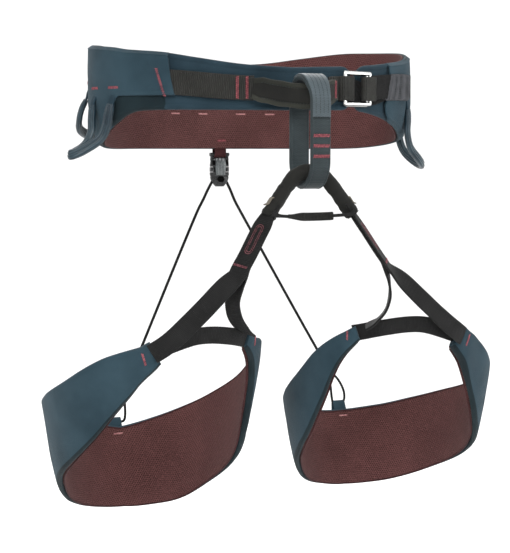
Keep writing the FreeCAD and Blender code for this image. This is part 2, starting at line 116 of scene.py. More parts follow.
# ---- camera ----
LENS, SENSOR = 88.1, 36
CAMERA_PLACE = V((-446, -1105, -49))
CAMERA_DOWN, CAMERA_TURN = 5.35, -22.04


def add_camera():
    data = bpy.data.cameras.new("camera")
    data.sensor_width = SENSOR
    data.lens = LENS
    camera = bpy.data.objects.new("camera", data)
    camera.location = CAMERA_PLACE * MM
    camera.rotation_euler = (math.radians(90 - CAMERA_DOWN), 0, math.radians(CAMERA_TURN))
    bpy.context.collection.objects.link(camera)
    bpy.context.scene.camera = camera


add_camera()


# ---- general geometry ----
def smooth(rows, t):
    """The values at t on a smooth curve through rows of (t, value, ...)."""
    last = len(rows) - 1
    i = min(max(sum(row[0] <= t for row in rows) - 1, 0), last - 1)
    a, b = rows[i], rows[i + 1]
    before, after = rows[max(i - 1, 0)], rows[min(i + 2, last)]
    span = b[0] - a[0]
    u = (t - a[0]) / span
    values = []
    for k in range(1, len(a)):
        slope_a = (b[k] - before[k]) / (b[0] - before[0]) * span
        slope_b = (after[k] - a[k]) / (after[0] - a[0]) * span
        values.append((2 * u**3 - 3 * u**2 + 1) * a[k] + (u**3 - 2 * u**2 + u) * slope_a
                      + (3 * u**2 - 2 * u**3) * b[k] + (u**3 - u**2) * slope_b)
    return values


def steps(start, stop, count):
    return [start + (stop - start) * i / count for i in range(count + 1)]


def ease(value, start, stop):
    """0 before start, 1 after stop, smooth between them."""
    u = min(max((value - start) / (stop - start), 0), 1)
    return u * u * (3 - 2 * u)


def wobble(x, y, z, size):
    """Smooth noise from about -1 to 1 that changes over a length of size."""
    return noise.noise(V((x, y, z)) / size)


def corner(distance, radius):
    """How far a rounded corner draws an edge in, at a distance from its end."""
    left = max(0, radius - max(distance, 0))
    return radius - math.sqrt(max(0, radius**2 - left**2))


def share(z, top, bottom):
    """Where z lies in a band: -1 at its lower edge and 1 at its upper one."""
    return (2 * z - top - bottom) / (top - bottom)


def leaning(a, b, degrees):
    """The offsets (a, b) turned by an angle."""
    t = math.radians(degrees)
    return a * math.cos(t) - b * math.sin(t), a * math.sin(t) + b * math.cos(t)


def mirror(point, side):
    return V((-point[0], point[1], point[2])) if side == "right" else V(point)


def belt_point(angle, z, depth):
    """A place on the waist oval; the lower part of each hip leans in against the body."""
    turned = abs((angle + 180) % 360 - 180)
    depth -= HIP_LEAN * ease(-z, 8, 48) * ease(turned, 30, 60) * (1 - ease(turned, 108, 145))
    t = math.radians(angle)
    return V(((WAIST_X + depth) * math.sin(t), -(WAIST_Y + depth) * math.cos(t), z))


def belt_edge(angle):
    angle = (angle + 180) % 360 - 180
    return smooth(BELT_RIGHT if angle < 0 else BELT_LEFT, abs(angle))


def leg_point(angle, z, depth, top):
    t = math.radians(angle)
    grow = depth - LEG_TAPER * (top - z)
    return V((LEG_X + (THIGH_X + grow) * math.sin(t),
              LEG_Y - (THIGH_Y + grow) * math.cos(t) - THIGH_FORWARD * math.sin(t) ** 2, z))


def buckle_point(across, z, depth):
    """A place in the waist buckle's own frame."""
    t = math.radians(BUCKLE_ANGLE)
    heading = math.atan2((WAIST_Y + 7) * math.sin(t), (WAIST_X + 7) * math.cos(t))
    middle = belt_point(BUCKLE_ANGLE, smooth(WEBBING_MIDDLE, BUCKLE_ANGLE)[0] + z, 7)
    along = V((math.cos(heading), math.sin(heading), 0))
    return middle + along * across + V((along.y, -along.x, 0)) * depth


def section(width, outer, inner, radius, crown=0.0, hem=0.0, count=5):
    """Offsets (across, outward) round a flat section, over its outer face and back under it."""
    half = width / 2
    edge = [radius * (1 - math.cos(math.radians(a))) for a in (0, 25, 50, 72, 90)]
    if hem:
        edge += [hem - 0.7, hem - 0.1, hem + 0.5]
    edge += steps(edge[-1], half, count)[1:]
    across = [half - e for e in edge]
    across += [-a for a in reversed(across[:-1])]

    def out(a, limit):
        e = half - abs(a)
        full = math.sqrt(max(0, 1 - (1 - min(e / radius, 1)) ** 2))
        margin = 0.0
        if hem:
            margin = 0.25 * (1 - ease(e, hem - 0.7, hem)) - 0.2 * math.exp(-((e - hem) / 0.5) ** 2)
        return (limit + margin) * full

    face = [(a, out(a, outer) + crown * (1 - (a / half) ** 2)) for a in across]
    back = [(a, -out(a, inner)) for a in reversed(across[1:-1])]
    return face + back


def oval(across, out, count):
    """Offsets round an oval section."""
    turns = [2 * math.pi * i / count for i in range(count)]
    return [(across * math.cos(t), out * math.sin(t)) for t in turns]


def both_ways(half):
    """A line across the middle from its points on the left side, first one at the middle."""
    return [V((-x, y, z)) for x, y, z in half[:0:-1]] + [V(p) for p in half]


def lying(points, outward):
    """The width direction at each point of a line on a surface that faces outward(point)."""
    around = zip([points[0], *points], points, [*points[1:], points[-1]])
    return [(after - before).cross(outward(p)).normalized() for before, p, after in around]


def line(points, widths, gap, closed=False):
    """Stations about gap apart on a smooth line: (place, along, wide, outward, run)."""
    count = len(points)
    if not hasattr(widths, "__len__") or len(widths) != count:
        widths = [widths] * count
    places = list(range(count))
    if closed:
        places = [-2, -1, *places, count, count + 1]
    rows = [(i, *points[i % count], *widths[i % count]) for i in places]
    last = count if closed else count - 1
    fine = steps(0, last, last * 24)
    spots = [V(smooth(rows, t)[:3]) for t in fine]
    runs = [0.0]
    for a, b in zip(spots, spots[1:]):
        runs.append(runs[-1] + (b - a).length)
    number = max(3, round(runs[-1] / gap))
    stations, k = [], 0
    for i in range(number + (0 if closed else 1)):
        run = runs[-1] * i / number
        while k < len(runs) - 2 and runs[k + 1] < run:
            k += 1
        t = fine[k] + (fine[k + 1] - fine[k]) * (run - runs[k]) / max(runs[k + 1] - runs[k], 1e-9)
        low, high = (t - 0.04, t + 0.04) if closed else (max(t - 0.04, 0), min(t + 0.04, last))
        along = (V(smooth(rows, high)[:3]) - V(smooth(rows, low)[:3])).normalized()
        wide = V(smooth(rows, t)[3:])
        outward = along.cross(wide).normalized()
        stations.append((V(smooth(rows, t)[:3]), along, outward.cross(along), outward, run))
    return stations


def ring_at(station, offsets):
    place, _, wide, outward, _ = station
    return [place + wide * a + outward * b for a, b in offsets]


def sweep(stations, shape):
    """Rings of points along stations. shape is a section, or gives one for (run, total)."""
    total = stations[-1][4]
    return [ring_at(s, shape(s[4], total) if callable(shape) else shape) for s in stations]


def ribbed(width, thick, rib=0.16):
    """A webbing section whose faces rise and fall in ribs along it."""
    def shape(run, total):
        wave = math.cos(2 * math.pi * run / RIB)
        half = thick / 2
        face = half * (1 + rib * wave)
        return section(width + 0.1 * wave, face, face, half * 0.95, count=4)
    return shape


def strap(points, widths, width, thick, rib=0.16, closed=False):
    return sweep(line(points, widths, RIB / 4, closed), ribbed(width, thick, rib))


def wire(points, radius, sides=6, closed=False):
    """Rings of a round wire through points as they are."""
    rings = []
    count = len(points)
    normal = V((0.31, 0.17, 0.93))
    for i in range(count):
        before = points[i - 1] if closed or i else points[i]
        after = points[(i + 1) % count] if closed or i < count - 1 else points[i]
        along = (after - before).normalized()
        normal = (normal - along * normal.dot(along)).normalized()
        side = along.cross(normal)
        rings.append([points[i] + (normal * math.cos(t) + side * math.sin(t)) * radius
                      for t in (2 * math.pi * j / sides for j in range(sides))])
    return rings


# ---- pieces ----
def make(name, skins, materials, body="waist_belt", slot=None, stands_for=(), across=None,
         sharp=50):
    """One object from skins of (rings, closed) or (rings, closed, chooser of material by place).
    It rides on a body, or, given across, stays unparented where it is; the two bodies and two points in
    across are not used."""
    verts, faces, uvs, which, flat = [], [], [], [], []
    for skin in skins:
        rings, closed = skin[0], skin[1]
        choose = skin[2] if len(skin) > 2 else None
        base, count, size = len(verts), len(rings), len(rings[0])
        around = [[0.0] for _ in rings]
        for ring, run in zip(rings, around):
            for j in range(size):
                run.append(run[-1] + (ring[(j + 1) % size] - ring[j]).length)
        reach = [0.0]
        for a, b in zip(rings, rings[1:] + rings[:1]):
            reach.append(reach[-1] + (sum(b, V()) / size - sum(a, V()) / size).length)
        for ring in rings:
            verts += [p * MM for p in ring]
        for i in range(count if closed else count - 1):
            k = (i + 1) % count
            for j in range(size):
                n = (j + 1) % size
                near, far = base + i * size, base + k * size
                faces.append((near + j, near + n, far + n, far + j))
                uvs += [(reach[i] * MM, around[i][m] * MM) for m in (j, j + 1)]
                uvs += [(reach[i + 1] * MM, around[k][m] * MM) for m in (j + 1, j)]
                which.append(choose(i, j, count, size) if choose else 0)
        if not closed:
            for i, order in ((0, range(size - 1, -1, -1)), (count - 1, range(size))):
                faces.append(tuple(base + i * size + j for j in order))
                uvs += [(reach[i] * MM, around[i][j] * MM) for j in order]
                which.append(which[-1] if which and choose else 0)
    mesh = bpy.data.meshes.new(name)
    mesh.from_pydata(verts, [], faces)
    mesh.uv_layers.new(name="UVMap").data.foreach_set("uv", [c for uv in uvs for c in uv])
    mesh.polygons.foreach_set("material_index", which)
    work = bmesh.new()
    work.from_mesh(mesh)
    bmesh.ops.recalc_face_normals(work, faces=work.faces)
    work.to_mesh(mesh)
    work.free()
    mesh.polygons.foreach_set("use_smooth", [True] * len(mesh.polygons))
    mesh.set_sharp_from_angle(angle=math.radians(sharp))
    thing = bpy.data.objects.new(name, mesh)
    bpy.context.collection.objects.link(thing)
    for material in materials:
        mesh.materials.append(material)
    if stands_for:
        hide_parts(*stands_for)
    if across:
        first, second, start, end = across
        V(start) * MM
        V(end) * MM
        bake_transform(thing)
    else:
        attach(thing, body)
    return thing


def single(name, rings, material, slot, *stands_for, closed=False, **where):
    """A piece of one skin in one material."""
    return make(name, [(rings, closed)], [material], slot=slot, stands_for=stands_for, **where)


def threads(name, skins, material, *stands_for, **where):
    return make(name, skins, [material], slot="bartack_thread", stands_for=stands_for, **where)


def zigzag(place, length, height, pitch=0.8):
    """A bartack's thread. place(a, b, out) is a point a along and b across it."""
    radius, lift = 0.2, 0.1
    count = max(4, round(length / pitch))
    points = []
    for i in range(count + 1):
        a = -length / 2 + length * i / count
        b = height / 2 * (1 if i % 2 else -1)
        points += [place(a, b * 0.96, lift), place(a + length / count * 0.5, 0, lift + 0.16)]
    edges = [[place(-length / 2, s * height * 0.25, lift), place(0, s * height * 0.25, lift + 0.1),
              place(length / 2, s * height * 0.25, lift)] for s in (-1, 1)]
    return [(wire(run, radius, 5), False) for run in (points, *edges)]


def stitches(points, outward, length, gap, radius):
    """A row of single stitches along points, with the outward direction at each."""
    skins, run, due = [], 0.0, 0.0
    for (a, out), b in zip(zip(points, outward), points[1:]):
        step = (b - a).length
        while due < run + step:
            spot = a.lerp(b, (due - run) / step)
            along = (b - a).normalized() * (length / 2)
            ends = [spot - along - out * 0.15, spot - along * 0.6 + out * 0.1,
                    spot + along * 0.6 + out * 0.1, spot + along - out * 0.15]
            skins.append((wire(ends, radius, 5), False))
            due += gap
        run += step
    return skins


# ---- materials ----
class Graph:
    """A material and short ways to add nodes to it."""

    def __init__(self, name):
        self.material = bpy.data.materials.new(name)
        self.material.use_nodes = True
        self.tree = self.material.node_tree
        self.shader = self.tree.nodes["Principled BSDF"]
        self.uv = self.node("ShaderNodeUVMap").outputs[0]
        self.place = self.node("ShaderNodeTexCoord").outputs["Object"]

    def put(self, socket, value):
        if isinstance(value, bpy.types.NodeSocket):
            self.tree.links.new(value, socket)
        else:
            socket.default_value = value

    def node(self, kind, inputs=(), **settings):
        made = self.tree.nodes.new(kind)
        for key, value in settings.items():
            setattr(made, key, value)
        for key, value in dict(inputs).items():
            self.put(made.inputs[key], value)
        return made

    def math(self, operation, a, b=0.0):
        return self.node("ShaderNodeMath", {0: a, 1: b}, operation=operation).outputs[0]

    def add(self, a, b):
        return self.math("ADD", a, b)

    def times(self, a, b):
        return self.math("MULTIPLY", a, b)

    def noise(self, scale, detail, vector=None):
        made = self.node("ShaderNodeTexNoise", {"Vector": vector or self.place, "Scale": scale,
                                                "Detail": detail, "Roughness": 0.55})
        return made.outputs[0]

    def ramp(self, value, low, high, start=0.0, stop=1.0):
        return self.node("ShaderNodeMapRange", {0: value, 1: low, 2: high, 3: start, 4: stop}).outputs[0]

    def mix(self, factor, a, b):
        made = self.node("ShaderNodeMix", data_type="RGBA")
        self.put(made.inputs[0], factor)
        self.put(made.inputs[6], a)
        self.put(made.inputs[7], b)
        return made.outputs[2]

    def split(self):
        """How far along and across the piece a place is, in metres."""
        parts = self.node("ShaderNodeSeparateXYZ", {0: self.uv}).outputs
        return parts[0], parts[1]

    def wave(self, value, pitch):
        """A cosine of that pitch in metres."""
        return self.math("COSINE", self.times(value, 2 * math.pi / pitch))

    def slanted(self, u, v, degrees):
        t = math.radians(degrees)
        return self.add(self.times(u, math.cos(t)), self.times(v, math.sin(t)))

    def finish(self, colour, roughness, height=None, depth=0.0001, **sockets):
        self.put(self.shader.inputs["Base Color"], colour)
        self.put(self.shader.inputs["Roughness"], roughness)
        if height is not None:
            bump = self.node("ShaderNodeBump", {"Strength": 1.0, "Distance": depth, "Height": height})
            self.put(self.shader.inputs["Normal"], bump.outputs[0])
        for key, value in sockets.items():
            self.put(self.shader.inputs[key.replace("_", " ")], value)
        return self.material


def rgb(red, green, blue, share=1.0):
    """A share of a colour given by its 0 to 255 values as seen on a screen."""
    return (*[(c * share / 255) ** 2.2 for c in (red, green, blue)], 1.0)


def woven(name, light, dark, pitch=0.0008, depth=0.00006):
    """Plain-woven cloth with a slow change of colour and a slight fuzz."""
    g = Graph(name)
    u, v = g.split()
    weave = g.times(g.wave(u, pitch), g.wave(v, pitch))
    fuzz = g.noise(1800, 2)
    broad = g.ramp(g.noise(28, 4), 0.3, 0.7)
    colour = g.mix(broad, rgb(*dark), rgb(*light))
    colour = g.mix(g.ramp(weave, -1, 1, 0.22, 0.0), colour, rgb(*dark, 0.45))
    height = g.add(weave, g.times(fuzz, 0.8))
    return g.finish(colour, g.ramp(fuzz, 0.3, 0.7, 0.72, 0.88), height, depth,
                    Sheen_Weight=0.05, Sheen_Roughness=0.5, Specular_IOR_Level=0.1)


def air_mesh(name, light, dark):
    """Spacer mesh: rows of small holes on a slant, with a padded knit between them."""
    g = Graph(name)
    u, v = g.split()
    waves = [g.wave(g.slanted(u, v, angle), 0.0021 * 0.866) for angle in (32, 92, 152)]
    knit = g.add(g.add(waves[0], waves[1]), waves[2])
    hole = g.ramp(knit, 1.0, 2.4)
    strand = g.ramp(g.noise(900, 2), 0.35, 0.65)
    broad = g.ramp(g.noise(22, 4), 0.3, 0.7)
    colour = g.mix(broad, rgb(*dark), rgb(*light))
    colour = g.mix(g.times(strand, 0.35), colour, rgb(*light, 1.35))
    colour = g.mix(hole, colour, rgb(*dark, 0.33))
    height = g.math("SUBTRACT", g.times(strand, 0.25), g.times(knit, 0.33))
    return g.finish(colour, 0.85, height, 0.00035, Sheen_Weight=0.04, Sheen_Roughness=0.5,
                    Specular_IOR_Level=0.08)


def webbing(name, light, dark, rib=RIB * MM, depth=0.00018, rough=0.62, line=0.75):
    """Flat webbing: cross ribs, with the warp threads' fine chevrons over them."""
    g = Graph(name)
    u, v = g.split()
    ribs = g.wave(u, rib)
    warp = g.times(g.wave(v, 0.0011), g.wave(g.slanted(u, v, 45), 0.0011))
    worn = g.ramp(g.noise(60, 4), 0.35, 0.7)
    colour = g.mix(worn, rgb(*dark), rgb(*light))
    colour = g.mix(g.ramp(ribs, -1, 0.6, line, 0.0), colour, rgb(*dark, 0.35))
    colour = g.mix(g.ramp(warp, -1, 1, 0.0, 0.25), colour, rgb(*light, 1.5))
    height = g.add(ribs, g.times(warp, 0.35))
    return g.finish(colour, rough, height, depth, Sheen_Weight=0.03, Sheen_Roughness=0.4,
                    Specular_IOR_Level=0.14)


def thread(name, light, dark):
    g = Graph(name)
    u, v = g.split()
    twist = g.wave(g.slanted(u, v, 35), 0.0005)
    colour = g.mix(g.ramp(g.noise(500, 2), 0.35, 0.65), rgb(*dark), rgb(*light))
    return g.finish(colour, 0.5, twist, 0.00005, Specular_IOR_Level=0.2)


def polished(name):
    """Polished steel with fine brushing and small knocks, and painted dark reflection on faces turned
    downward.
    """
    g = Graph(name)
    brushed = g.node("ShaderNodeMapping", {"Vector": g.place, "Scale": (300, 300, 4000)}).outputs[0]
    grain = g.noise(1.0, 3, brushed)
    knocks = g.noise(420, 5)
    facing = g.node("ShaderNodeSeparateXYZ", {0: g.node("ShaderNodeNewGeometry").outputs["Normal"]})
    # painted dark reflection and shade: faces turned downward are darkened towards near-black
    rim = g.ramp(facing.outputs[2], -0.75, -0.2)
    colour = g.mix(g.ramp(knocks, 0.45, 0.6), rgb(196, 197, 196), rgb(222, 222, 220))
    colour = g.mix(rim, rgb(52, 52, 50), colour)
    height = g.add(g.times(grain, 0.3), knocks)
    return g.finish(colour, g.ramp(grain, 0.3, 0.7, 0.12, 0.24), height, 0.00003, Metallic=1.0)


def moulded(name, light, dark, rough, depth=0.00003, lines=0.0, shine=0.3):
    """Moulded plastic with a fine spark-eroded grain, and fine lines along it if wanted."""
    g = Graph(name)
    u, v = g.split()
    fine = g.noise(900, 3)
    colour = g.mix(g.ramp(g.noise(70, 3), 0.35, 0.7), rgb(*dark), rgb(*light))
    height = fine
    if lines:
        groove = g.wave(v, lines)
        height = g.add(g.times(groove, 1.5), fine)
        colour = g.mix(g.ramp(groove, -1, 0.2, 0.55, 0.0), colour, rgb(*dark, 0.4))
    return g.finish(colour, g.ramp(fine, 0.3, 0.7, rough - 0.08, rough + 0.1), height, depth,
                    Specular_IOR_Level=shine)


def elastic(name, light, dark):
    """Ribbed elastic: close vertical ribs crossed by fine covering yarn."""
    g = Graph(name)
    u, v = g.split()
    ribs = g.wave(u, 0.0017)
    yarn = g.wave(v, 0.0007)
    colour = g.mix(g.ramp(ribs, -1, 1), rgb(*dark), rgb(*light))
    colour = g.mix(g.ramp(g.noise(120, 3), 0.4, 0.7, 0, 0.3), colour, rgb(*light, 1.25))
    height = g.add(ribs, g.times(yarn, 0.3))
    return g.finish(colour, 0.75, height, 0.0002, Specular_IOR_Level=0.12)


def braided(name, light, dark):
    g = Graph(name)
    u, v = g.split()
    left = g.wave(g.slanted(u, v, 55), 0.0011)
    right = g.wave(g.slanted(u, v, -55), 0.0011)
    plait = g.node("ShaderNodeMath", {0: left, 1: right}, operation="MAXIMUM").outputs[0]
    colour = g.mix(g.ramp(plait, 0, 1), rgb(*dark), rgb(*light))
    return g.finish(colour, 0.6, plait, 0.00015, Specular_IOR_Level=0.15)


TEAL = woven("teal_cloth", (50, 68, 77), (38, 54, 62))
# a darker copy of the teal cloth: painted shade for the front wings and the gear loops' webbing
TEAL_SHADED_COPY = woven("teal_cloth_shaded_copy", (42, 58, 67), (32, 46, 54))
MAROON = air_mesh("maroon_mesh", (84, 56, 55), (68, 45, 44))
MAROON_CLOTH = woven("maroon_cloth", (66, 38, 39), (52, 29, 30))
# teal in painted shade, for the leg pads' lower rims and the belt pad's underlay
TEAL_SHADE = woven("teal_cloth_painted_shade", (30, 42, 46), (21, 31, 35))
BLACK = webbing("black_webbing", (50, 50, 48), (36, 36, 34))
# black webbing in painted shadow, for the adjusting strap's tail and its under run
BLACK_SHADE = webbing("black_tail_webbing_shaded", (25, 25, 25), (16, 16, 16))
BLACK_FINE = webbing("black_leg_webbing", (31, 31, 31), (20, 20, 20), rib=0.0010, depth=0.00009)
SLEEVE = woven("dark_sleeve_cloth", (42, 42, 40), (28, 28, 27), pitch=0.0011, depth=0.0001)
LIP = woven("olive_piping_cloth", (54, 55, 50), (40, 41, 38), pitch=0.0009, depth=0.0001)
BELAY = webbing("belay_webbing", (47, 54, 56), (36, 41, 43), rib=0.0011, depth=0.00004,
                rough=0.5, line=0.25)
BELAY_LIGHT = webbing("belay_outer_webbing", (70, 78, 82), (56, 63, 66), rib=0.0011, depth=0.00004,
                      rough=0.45, line=0.25)
PINK = thread("bartack_thread", (168, 92, 98), (116, 58, 66))
# a darker copy of the pink thread: painted shade on the links' stitching
PINK_SHADED = thread("link_thread_shaded", (132, 82, 88), (84, 48, 54))
PALE = thread("pale_thread", (198, 146, 144), (160, 108, 110))
GREY_THREAD = thread("grey_thread", (44, 50, 52), (32, 36, 38))
STEEL = polished("buckle_steel")
PLASTIC = moulded("black_plastic", (34, 36, 37), (20, 22, 23), shine=0.45, rough=0.3)
# a grey copy of the black plastic: painted highlight on the riser buckle's ribs
PLASTIC_HIGHLIGHT = moulded("plastic_painted_highlight", (104, 110, 110), (66, 70, 71), shine=0.5, rough=0.28)
# near-black fill for the riser buckle's openings: painted shade in the holes
HOLLOW_SHADE = moulded("recess_painted_shade", (12, 12, 12), (6, 6, 6), shine=0.05, rough=0.7)
GEAR = moulded("gear_loop_plastic", (48, 65, 73), (32, 46, 54), rough=0.35, lines=0.0021, depth=0.0001)
KEEPER_ELASTIC = elastic("grey_elastic", (74, 75, 78), (50, 51, 53))
BRAID = braided("riser_braid", (28, 28, 28), (10, 10, 10))
BEIGE = woven("beige_tape", (124, 118, 106), (96, 90, 80), pitch=0.0009, depth=0.0001)


# ---- elastic riser cords ----
def cord_line(side):
    """The points of the cord's smooth line, in metres."""
    curve = bpy.data.curves.new("cord_line", "CURVE")
    curve.dimensions = "3D"
    curve.resolution_u = 20
    spline = curve.splines.new("NURBS")
    route = CORD_ROUTE + [KNOT[side] + V(step) for step in CORD_ABOVE_KNOT]
    spline.points.add(len(route) - 1)
    for point, place in zip(spline.points, route):
        point.co = (*(mirror(place, side) * MM), 1)
    spline.order_u = 3
    spline.use_endpoint_u = True
    holder = bpy.data.objects.new("cord_line", curve)
    mesh = bpy.data.meshes.new_from_object(holder)
    points = [v.co.copy() for v in mesh.vertices]
    bpy.data.objects.remove(holder)
    return points


def add_cords():
    for side in ("left", "right"):
        path = cord_line(side)
        rings = wire([p / MM for p in path], CORD / 2, 12)
        bend = ("waist_belt", f"{side}_leg", *[mirror(p, side) for p in CORD_BEND])
        cord = single(f"riser_cord_{side}_braid", rings, BRAID, "riser_elastic", f"riser_cord_{side}",
                      across=bend)
        mirror(CORD_ROUTE[0], side) * MM


add_cords()


# ---- belt ----
def band(angles, edge, middle, shape, lift, place):
    """Rings of a band round the body. shape(angle, width) is the section there, lift moves its
    points and place(angle, turned, z, depth) puts them round the body."""
    rings = []
    for angle in angles:
        top, bottom = edge(angle)
        ring = []
        for a, b in shape(angle, top - bottom):
            z = (top + bottom) / 2 + a
            turned, depth = lift(angle, z, middle + b)
            ring.append(place(angle, turned, z, depth))
        rings.append(ring)
    return rings


def belt_rings(angles, edge, middle, shape, lift):
    return band(angles, edge, middle, shape, lift, lambda angle, *at: belt_point(*at))


BACK_BEND = ("waist_belt", "belt_left", (8, 84, 0), (44, 84, 0))


def hip_run(count, seam=HIP_SEAM):
    """Angles from the right hip seam round the back to the left one."""
    return steps(-seam, seam - 360, count)


def add_belt_pad():
    def shape(angle, width):
        near = min(abs(angle + HIP_SEAM), abs(angle + 360 - HIP_SEAM)) * 2.0
        close = math.sqrt(min(1, 0.12 + near / 4))
        return section(width, 2.7 * close, 2.6 * close, 3.4, crown=0.5 * close)

    def lift(angle, z, depth):
        p = belt_point(angle, z, 4)
        return angle, depth + 0.45 * wobble(*p, 34) + 0.18 * wobble(*p, 9)

    rings = belt_rings(hip_run(180), belt_edge, 4.05, shape, lift)
    # the belt pad shows only at its rims and under the right hip panel, painted in shade
    pad = single("belt_pad", rings, TEAL_SHADE, "outer_fabric", "belt_shell_right", "belt_shell_left",
                 "belt_foam_right", "belt_foam_left", across=BACK_BEND)


def panel_edge(angle):
    """The outer panel's edges: level with the belt's, but stopping short below the right hip."""
    top, bottom = belt_edge(angle)
    turned = (angle + 180) % 360 - 180
    low = bottom - 0.2
    if turned < 0:
        low += (-5.5 - low) * (1 - ease(-turned, 65, 74))
    else:
        low += corner((turned - HIP_SEAM) * 2.05, 12)
    return top + 0.2, low


def hip_slant(angle, z):
    """The seam's lean near each end of the hip panels, in degrees."""
    right = 1 - ease(-angle, HIP_SEAM, HIP_SEAM + 10)
    left = 1 - ease(angle + 360, HIP_SEAM, HIP_SEAM + 10)
    return (29 - z) / 46 * 4.0 * (right - left)


PANEL_DEPTH, PANEL_HALF = 7.3, 0.75


def panel_lift(angle, z, depth):
    """How the outer panel rises over the webbing at the hips, turns in at its rims and creases."""
    rise = 1 - ease(-angle, HIP_SEAM + 1, HIP_SEAM + 12)
    rise += 1 - ease(angle + 360, HIP_SEAM + 1, HIP_SEAM + 12)
    over = math.exp(-((z - 5) / 13.0) ** 4)
    top, bottom = belt_edge(angle)
    inward = 3.4 * (1 - ease(top - z, -0.3, 2.6)) + 3.2 * (1 - ease(z - bottom, -0.3, 2.6))
    p = belt_point(angle, z, 7)
    drift = 0.5 * wobble(*p, 38) + 0.3 * wobble(*p, 12)
    crown = 0.5 * (1 - share(z, top, bottom) ** 2)
    return angle + hip_slant(angle, z), depth - inward + 2.2 * rise * over + drift + crown


def panel_depth(angle, z):
    """The depth of the outer panel's surface."""
    angle = angle - 360 if angle > 0 else angle
    return panel_lift(angle - hip_slant(angle, z), z, PANEL_DEPTH + PANEL_HALF)[1]


def add_outer_panel():
    def shape(angle, width):
        return section(width, PANEL_HALF, 0.5, 0.9, hem=3.4, count=6)

    rings = belt_rings(hip_run(200, 43.4), panel_edge, PANEL_DEPTH, shape, panel_lift)
    single("belt_outer_panel", rings, TEAL, "outer_fabric", across=BACK_BEND)


def add_belt_liner():
    def edge(angle):
        top, bottom = belt_edge(angle)
        bump = 0.25 * math.sin(math.radians(angle) * 130 / 2.4 * 2.2)
        return top - 0.5 + bump, bottom + 0.4

    def shape(angle, width):
        return section(width, 0.5, 0.75, 0.8, count=9)

    def lift(angle, z, depth):
        top, bottom = belt_edge(angle)
        middle = 1 - share(z, top, bottom) ** 2
        rim = min(top - z, z - bottom)
        p = belt_point(angle, z, 0)
        groove = 0.7 * math.exp(-((rim - 3.2) / 0.7) ** 2)
        return angle, depth - 0.7 * middle + groove + 0.5 * wobble(*p, 30)

    rings = belt_rings(hip_run(190, 44.6), edge, 0.9, shape, lift)
    single("belt_mesh_lining", rings, MAROON, "inner_mesh", "belt_liner_right", "belt_liner_left",
           across=BACK_BEND)


def add_wings():
    """The two thin front panels: cloth outside, mesh inside."""
    for side, start, stop, body in (("right", -HIP_SEAM - 2.5, WING_ENDS[0], "waist_belt"),
                                    ("left", HIP_SEAM + 2.5, WING_ENDS[1], "belt_left")):
        def edge(angle):
            top, bottom = belt_edge(angle)
            gone = abs(angle - stop) * 2.3
            return top - corner(gone, 9 if side == "right" else 13), bottom + corner(gone, 9)

        def shape(angle, width):
            close = math.sqrt(min(1, 0.1 + abs(angle - stop) * 2.5 / 3))
            return section(width, 2.1 * close, 1.9 * close, 1.8 * close + 0.2, crown=0.3 * close, hem=4.6)

        def lift(angle, z, depth):
            p = belt_point(angle, z, 4)
            return angle, depth + 0.5 * wobble(*p, 26) + 0.25 * wobble(*p, 8)

        rings = belt_rings(steps(start, stop, 70), edge, 3.3, shape, lift)
        lining = lambda i, j, count, size: 1 if j > size * 0.5 + 2 and j < size - 3 else 0
        # the wing's outer cloth is the teal in painted shade
        wing = make(f"front_panel_{side}", [(rings, False, lining)], [TEAL_SHADED_COPY, MAROON], body=body,
                    slot="outer_fabric", stands_for=[f"front_wing_{side}"])


def webbing_middle(angle):
    return smooth(WEBBING_MIDDLE, min(abs(angle), 60))[0]


def add_waist_webbing():
    angles = steps(-49, -13.5, 12)
    points = [belt_point(a, webbing_middle(a), 7.9 - 0.9 * ease(-a, 44, 49)) for a in angles]
    single("waist_webbing_ribbed", strap(points, UP, 20, 1.8), BLACK, "black_webbing", "waist_webbing")


add_belt_pad()
add_outer_panel()
add_belt_liner()
add_wings()
add_waist_webbing()


# ---- bartacks on the belt ----
def belt_tack(angle, z, depth, length, height, lean=0.0, inside=False):
    """A bartack on the belt, lean degrees from level. depth is a number or gives one for
    (angle, z). Inside ones face the wearer."""
    there = math.radians(angle)
    heading = 1 / math.hypot(WAIST_X * math.cos(there), WAIST_Y * math.sin(there))

    def place(a, b, out):
        along, up = leaning(a, b, lean)
        turned = angle + math.degrees(along * heading)
        surface = depth(turned, z + up) if callable(depth) else depth
        return belt_point(turned, z + up, surface - out if inside else surface + out)
    return zigzag(place, length, height)


def add_belt_bartacks():
    pink = belt_tack(-45.6, 5.0, panel_depth, 23, 2.2, lean=-74)
    for angle in (-19, -15.8):
        pink += belt_tack(angle, 0.7, 9.0, 17.5, 2.6, lean=90)
    threads("front_bartacks", pink, PINK, "belt_bartacks")
    for side, sign, body in (("right", -1, "waist_belt"), ("left", 1, "belt_left")):
        skins = []
        for place, (first, last, z) in GEAR_TACKS.items():
            turn, span = GEAR_HANG[place][side][:2]
            ends = (first, first + (last - first) * span)
            for angle in ends[1:] if (place, side) == ("front", "left") else ends:
                skins += belt_tack(sign * (angle + turn), z, panel_depth, 9.5, 2.2)
        threads(f"gear_loop_bartacks_{side}", skins, PINK, body=body)
    for name, angles, body in (("right", (-160.2, -172.2), "waist_belt"),
                               ("left", (160.2,), "belt_left"), ("middle", (172.2,), "waist_belt")):
        skins = []
        for angle in angles:
            skins += belt_tack(angle, -16, -0.55, 9.0, 1.5, inside=True)
        threads(f"lining_bartacks_{name}", skins, PALE, body=body)
    tack = belt_tack(180, -40.5, -0.4, 8.0, 2.0, inside=True) + belt_tack(180, -41, 9.6, 9.0, 2.0)
    threads("riser_tab_bartacks", tack, PINK)


add_belt_bartacks()


# ---- tie-in loop ----
TIE_ROWS = [(-x, y, z) for x, y, z in TIE_IN[:0:-1]] + TIE_IN


